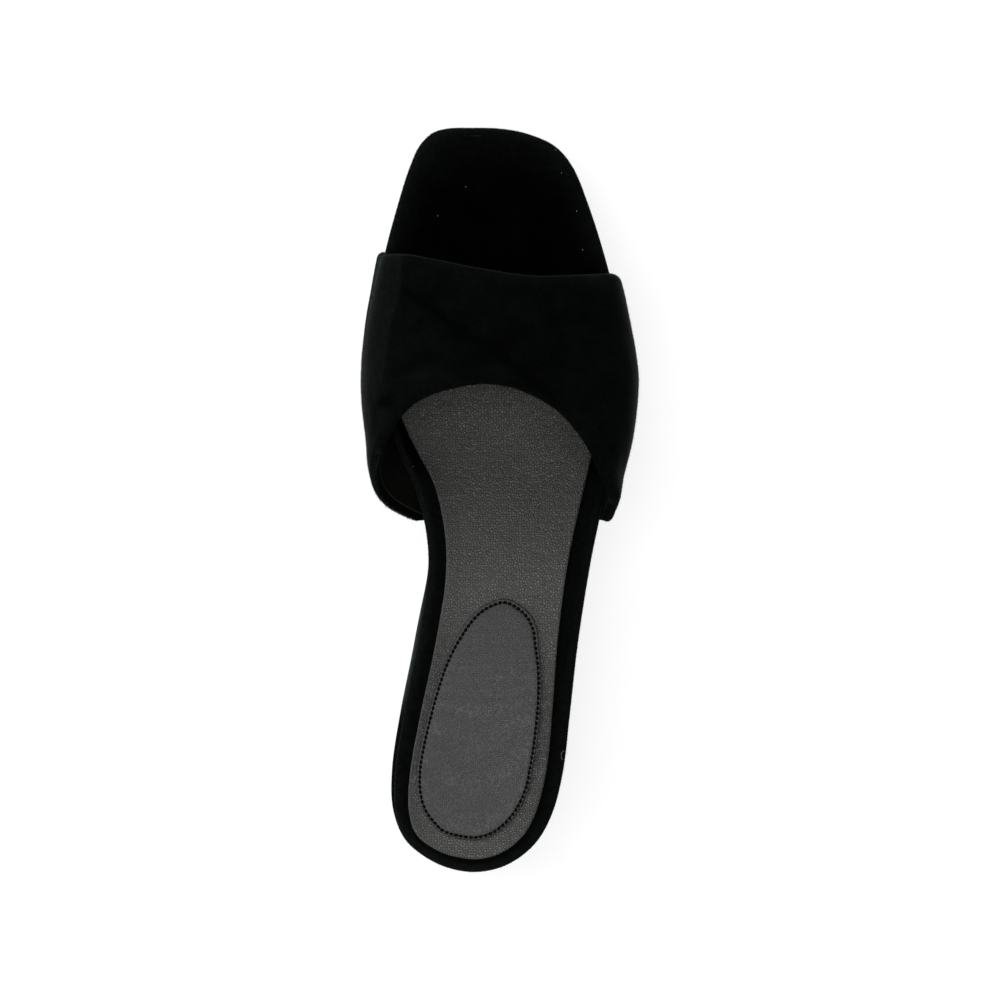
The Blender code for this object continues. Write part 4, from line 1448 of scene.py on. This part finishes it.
def make_band():
    """The padded band: velvet outside, rolled over both edges, with a leather lining inside."""
    sheet = BandSheet()
    around = sheet.around[:, None]
    arc = np.linspace(0, math.pi, 21)
    rolled = arc < 0.5 * math.pi
    sharper = 1 - 0.5 * ramp(around, -0.50, -0.75)
    reach, nose = ROLL_OUTSIDE * sharper, ROLL_NOSE * sharper
    arc_in = np.where(rolled, reach, ROLL_INSIDE) * (1 - np.sin(arc))
    arc_deep = nose - np.where(rolled, nose, BAND_WALL - nose) * np.cos(arc)
    outer = sheet.span(reach, end_weighted_shares(130, 0.5))
    inner = sheet.span(ROLL_INSIDE, 1 - end_weighted_shares(24, 0.5))
    rolled_front = sheet.front - sheet.at_front * arc_in
    rolled_back = sheet.back + sheet.at_back * arc_in[:, ::-1]
    rows_y = np.concatenate([outer, rolled_front[:, 1:-1], inner, rolled_back[:, 1:-1]], axis=1)
    rows_deep = np.concatenate([
        np.zeros_like(outer),
        arc_deep[:, 1:-1],
        np.full_like(inner, BAND_WALL),
        arc_deep[:, -2:0:-1],
    ], axis=1)
    surface, facing = sheet.points(rows_y)

    flat = surface.reshape(-1, 3)
    y = surface[..., 1]
    over_nose, over_wall = (np.clip(1 - rows_deep / depth, 0, 1) for depth in (ROLL_NOSE, BAND_WALL))
    past_turn = (np.arange(len(around)) > 6)[:, None]
    relief = band_relief(flat).reshape(y.shape) * (np.abs(around) < 0.999) * over_nose
    swelling = np.where(around < 0, *(smooth_value(MM * np.array(SIDE_SWELL), y, k) for k in (1, 2)))
    relief += swelling * ramp(np.abs(around), 0.45, 0.75) * past_turn * over_wall
    low_down = ramp(around, -0.84, -0.96) * past_turn
    relief -= FRONT_TAPER * low_down * eased(ramp(y, 0.044, 0.068)) * over_wall
    points = surface + facing * (relief - rows_deep)[..., None]

    to_back = (rows_y - sheet.back) / sheet.at_back
    to_front = (sheet.front - rows_y) / sheet.at_front
    nap_and_painted_light = band_nap_and_painted_light(flat, to_front.ravel(), to_back.ravel()).reshape(y.shape)
    # Painted highlight on the outer part of the inner back roll, and painted shade deeper in the roll
    # where it turns in.
    back_roll_highlight = bell(rows_deep, 0.0, 0.0009) * bell(to_back, 0.0, 0.0022) * ramp(around, -0.50, -0.65)
    inward = np.clip((rows_deep - 0.0012) / ROLL_NOSE, 0, 1) * (to_back < to_front)
    nap_and_painted_light = np.where(rows_deep > ROLL_NOSE, -0.5, nap_and_painted_light + 1.1 * back_roll_highlight - 0.5 * inward)
    shape = Shape()
    grid = shape.add(points)
    shape.quads(grid, closed=True)
    # Faces deep in the roll take the shaded copy of the velvet: painted shade.
    turned = (rows_deep > TURNED_DEPTH) & (np.roll(rows_deep, -1, axis=1) > TURNED_DEPTH)
    shape.slots = turned[:-1].astype(int).ravel().tolist()
    shape.close_ends(grid)
    piece = shape.piece("band_cover", [BAND_VELVET, TURNED_SHADED_VELVET], {"nap_and_painted_light": nap_and_painted_light.ravel()})
    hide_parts("upper")
    make_lining(sheet)
    make_band_pile(points, outer.shape[1], len(arc) - 2)


def make_lining(sheet):
    """The band's leather lining, whose raw edge shows as a pale line inside the folded velvet.

    On the outer side its edge lies in shade and is painted as dark as the rest: painted shade.
    """
    top = sheet.span(LINING_INSET, end_weighted_shares(60, 0.6))
    count = top.shape[1]
    rows_y = np.concatenate([top, top[:, ::-1]], axis=1)
    inside = BAND_WALL + LINING_PROUD
    surface, facing = sheet.points(rows_y)
    points = surface - facing * np.repeat([inside, inside - LINING_THICKNESS], count)[:, None]
    cut = np.zeros_like(rows_y)
    cut[:, count:] = 1.0
    cut[:, [0, count - 1]] = 1.0
    cut[sheet.around > 0.2] = 0.0
    shape = Shape()
    grid = shape.add(points)
    shape.quads(grid, closed=True)
    shape.close_ends(grid)
    piece = shape.piece("band_lining", [LINING], {"cut": cut.ravel()})


def grow_hairs(name, points, facing, weight, hairs, rng, seed, material):
    """Short flat hairs on a grid of points, one narrow triangle each, joined into one piece.

    Weight says how densely they stand on each of the grid's cells.
    """
    count, spread, shortest, longest, width = hairs
    a, b, c, d = points[:-1, :-1], points[1:, :-1], points[1:, 1:], points[:-1, 1:]
    area = 0.5 * np.linalg.norm(np.cross(c - a, d - b), axis=2) * weight
    chance = area.ravel() / area.sum()
    cell = np.unravel_index(rng.choice(len(chance), size=count, p=chance), area.shape)
    u, v = rng.random((count, 1)), rng.random((count, 1))
    roots = (a[cell] * (1 - u) + b[cell] * u) * (1 - v) + (d[cell] * (1 - u) + c[cell] * u) * v
    ways = unit(facing[cell] + rng.normal(size=roots.shape) * spread)
    lengths = rng.uniform(shortest, longest, (count, 1))
    rng = np.random.default_rng(seed)
    aside = unit(np.cross(ways, rng.normal(size=ways.shape))) * 0.5 * width
    bend = rng.normal(size=roots.shape) * lengths * 0.12
    shape = Shape()
    grid = shape.add(np.stack([roots - aside, roots + aside, roots + ways * lengths + bend], axis=1))
    shape.faces = grid.tolist()
    shape.slots = [0] * len(grid)
    return shape.piece(name, [material], outward=False)


def make_band_pile(points, outer_count, arc_count):
    """Loose pile along the band's rolled edges and down its sides, and tufts low on its back edge."""
    rng = np.random.default_rng(23)
    facing = grid_normals(points)
    if facing[len(points) // 2, outer_count // 2, 2] < 0:
        facing = -facing
    weight = np.zeros((points.shape[0] - 1, points.shape[1] - 1))
    weight[:, :outer_count] = 0.06
    weight[:, outer_count : outer_count + arc_count] = 0.15
    weight[:, -arc_count:] = 0.1
    weight[:, -arc_count + 10 : -arc_count + 16] = 1.0
    weight[:10] = 0.0
    weight[-10:] = 0.0
    piece = grow_hairs("band_pile", points, facing, weight, BAND_HAIRS, rng, 29, PILE_FIBRE)
    weight[:] = 0.0
    weight[14:110, -arc_count + 9 : -arc_count + 16] = 1.0
    piece = grow_hairs("band_tufts", points, facing, weight, TUFT_HAIRS, rng, 43, TUFT_FIBRE)


def make_footbed_pile(rings):
    """Loose pile round the footbed's edge, thickest round the toe."""
    rng = np.random.default_rng(31)
    rim = rings[5:14]
    facing = grid_normals(rim)
    outward = rim[4, :, :2] - rim[4, :, :2].mean(axis=0)
    if np.sum(facing[4, :, :2] * outward) < 0:
        facing = -facing
    weight = 0.35 + 1.3 * ramp(along_at(rim[:-1, :-1, 1]), 0.80, 0.90)
    piece = grow_hairs("footbed_pile", rim, facing, weight, FOOTBED_HAIRS, rng, 37, PILE_FIBRE)


def make_lint():
    """A few specks of lint on the velvet and one curled hair on the rim beside the heel."""
    rng = np.random.default_rng(41)
    shape = Shape()

    def lay_thread(x, y, rise, girth):
        line = np.column_stack([x, y, footbed_top(x, y) + rise])
        flow = unit(np.gradient(line, axis=0))
        aside = unit(np.cross(flow, [0.0, 0.0, 1.0]))
        above = np.cross(aside, flow)
        turns = 2 * math.pi * np.arange(5) / 5
        rings = [line + girth * (math.cos(t) * aside + math.sin(t) * above) for t in turns]
        grid = shape.add(np.stack(rings, axis=1))
        shape.quads(grid, closed=True)
        shape.close_ends(grid)

    for x, y in LINT_PLACES:
        turn = rng.uniform(0, math.pi)
        length = rng.uniform(0.0002, 0.0005)
        share = np.linspace(-0.5, 0.5, 5)
        line_x = x * MM + math.cos(turn) * share * length
        line_y = y * MM + math.sin(turn) * share * length + 0.00008 * np.sin(share * 5)
        lay_thread(line_x, line_y, rise=0.00012, girth=0.00005)
    turn = np.linspace(0, HAIR_TURN, 24)
    line_x = CURLED_HAIR[0] * MM + HAIR_CURL[0] * np.cos(turn)
    line_y = CURLED_HAIR[1] * MM + HAIR_CURL[1] * np.sin(turn)
    lay_thread(line_x, line_y, rise=0.0002, girth=0.00003)
    piece = shape.piece("lint", [LINT_FIBRE])


def lay_out():
    """Every piece of the shoe."""
    make_outsole()
    make_wedge()
    make_footbed_pile(make_footbed())
    make_lint()
    make_sock()
    make_stitches(*make_heel_pad())
    make_band()


CAMERA_HEIGHT = 8.0
CAMERA_Y = -0.00016
SENSOR = 36.0
# The frame is this wide at this height over the floor.
FRAME_WIDTH = 0.320
FRAME_LEVEL = 0.045
FLOOR_SIZE = 6.0

# The softboxes: name, place, size and watts. All look at LIGHT_TARGET.
LIGHTS = (
    ("key", (-1.1, 0.4, 1.1), 1.0, 10.0),
    ("overhead", (0.05, 0.05, 1.6), 1.0, 16.0),
    ("fill", (1.3, -0.2, 1.2), 0.9, 1.0),
)
LIGHT_TARGET = (0.0, 0.0, 0.03)
# How strongly the studio's surroundings shine at the inner and at the outer side of the shoe.
INNER_GLOW = 0.78
OUTER_GLOW = 0.08


def make_camera():
    """Straight above the shoe, far off, with the toe at the top of the frame."""
    data = bpy.data.cameras.new("camera")
    data.sensor_width = SENSOR
    data.lens = SENSOR * (CAMERA_HEIGHT - FRAME_LEVEL) / FRAME_WIDTH
    data.clip_start = 0.1
    data.clip_end = 50.0
    camera = bpy.data.objects.new("camera", data)
    camera.location = (0.0, CAMERA_Y, CAMERA_HEIGHT)
    bpy.context.scene.collection.objects.link(camera)
    bpy.context.scene.camera = camera


def make_light(name, place, size, watts):
    """A square softbox that looks at the shoe."""
    data = bpy.data.lights.new(name, "AREA")
    data.shape = "SQUARE"
    data.size = size
    data.energy = watts
    lamp = bpy.data.objects.new(name, data)
    lamp.location = place
    aim = Vector(LIGHT_TARGET) - Vector(place)
    lamp.rotation_mode = "QUATERNION"
    lamp.rotation_quaternion = aim.to_track_quat("-Z", "Y")
    bpy.context.scene.collection.objects.link(lamp)


def make_floor():
    """A plain pale floor."""
    m = Nodes("studio_floor")
    paper = m.noise(0.05, detail=3.0)
    m.finish(
        Base_Color=m.mixed(m.ranged(paper, 0.2, 0.8), (0.30, 0.30, 0.30), (0.32, 0.32, 0.32)),
        Roughness=0.9,
        Specular_IOR_Level=0.1,
        Emission_Color=(1.0, 1.0, 1.0, 1.0),
        Emission_Strength=0.76,
    )
    mesh = bpy.data.meshes.new("floor")
    half = 0.5 * FLOOR_SIZE
    corners = [(-half, -half, 0.0), (half, -half, 0.0), (half, half, 0.0), (-half, half, 0.0)]
    mesh.from_pydata(corners, [], [(0, 1, 2, 3)])
    mesh.materials.append(m.material)
    floor = bpy.data.objects.new("floor", mesh)
    bpy.context.scene.collection.objects.link(floor)


def make_world():
    """A glow that is brighter at the inner side of the shoe."""
    world = bpy.data.worlds.new("studio")
    bpy.context.scene.world = world
    world.use_nodes = True
    nodes, links = world.node_tree.nodes, world.node_tree.links
    background = nodes["Background"]
    background.inputs["Color"].default_value = (1.0, 1.0, 1.0, 1.0)
    place = nodes.new("ShaderNodeTexCoord")
    split = nodes.new("ShaderNodeSeparateXYZ")
    side = nodes.new("ShaderNodeMapRange")
    side.interpolation_type = "SMOOTHSTEP"
    ranges = {"From Min": -0.8, "From Max": 0.8, "To Min": INNER_GLOW, "To Max": OUTER_GLOW}
    for name, value in ranges.items():
        side.inputs[name].default_value = value
    links.new(place.outputs["Generated"], split.inputs[0])
    links.new(split.outputs["X"], side.inputs["Value"])
    links.new(side.outputs["Result"], background.inputs["Strength"])


lay_out()
make_camera()
make_floor()
make_world()
for light in LIGHTS:
    make_light(*light)
bpy.context.scene.view_settings.view_transform = "Standard"
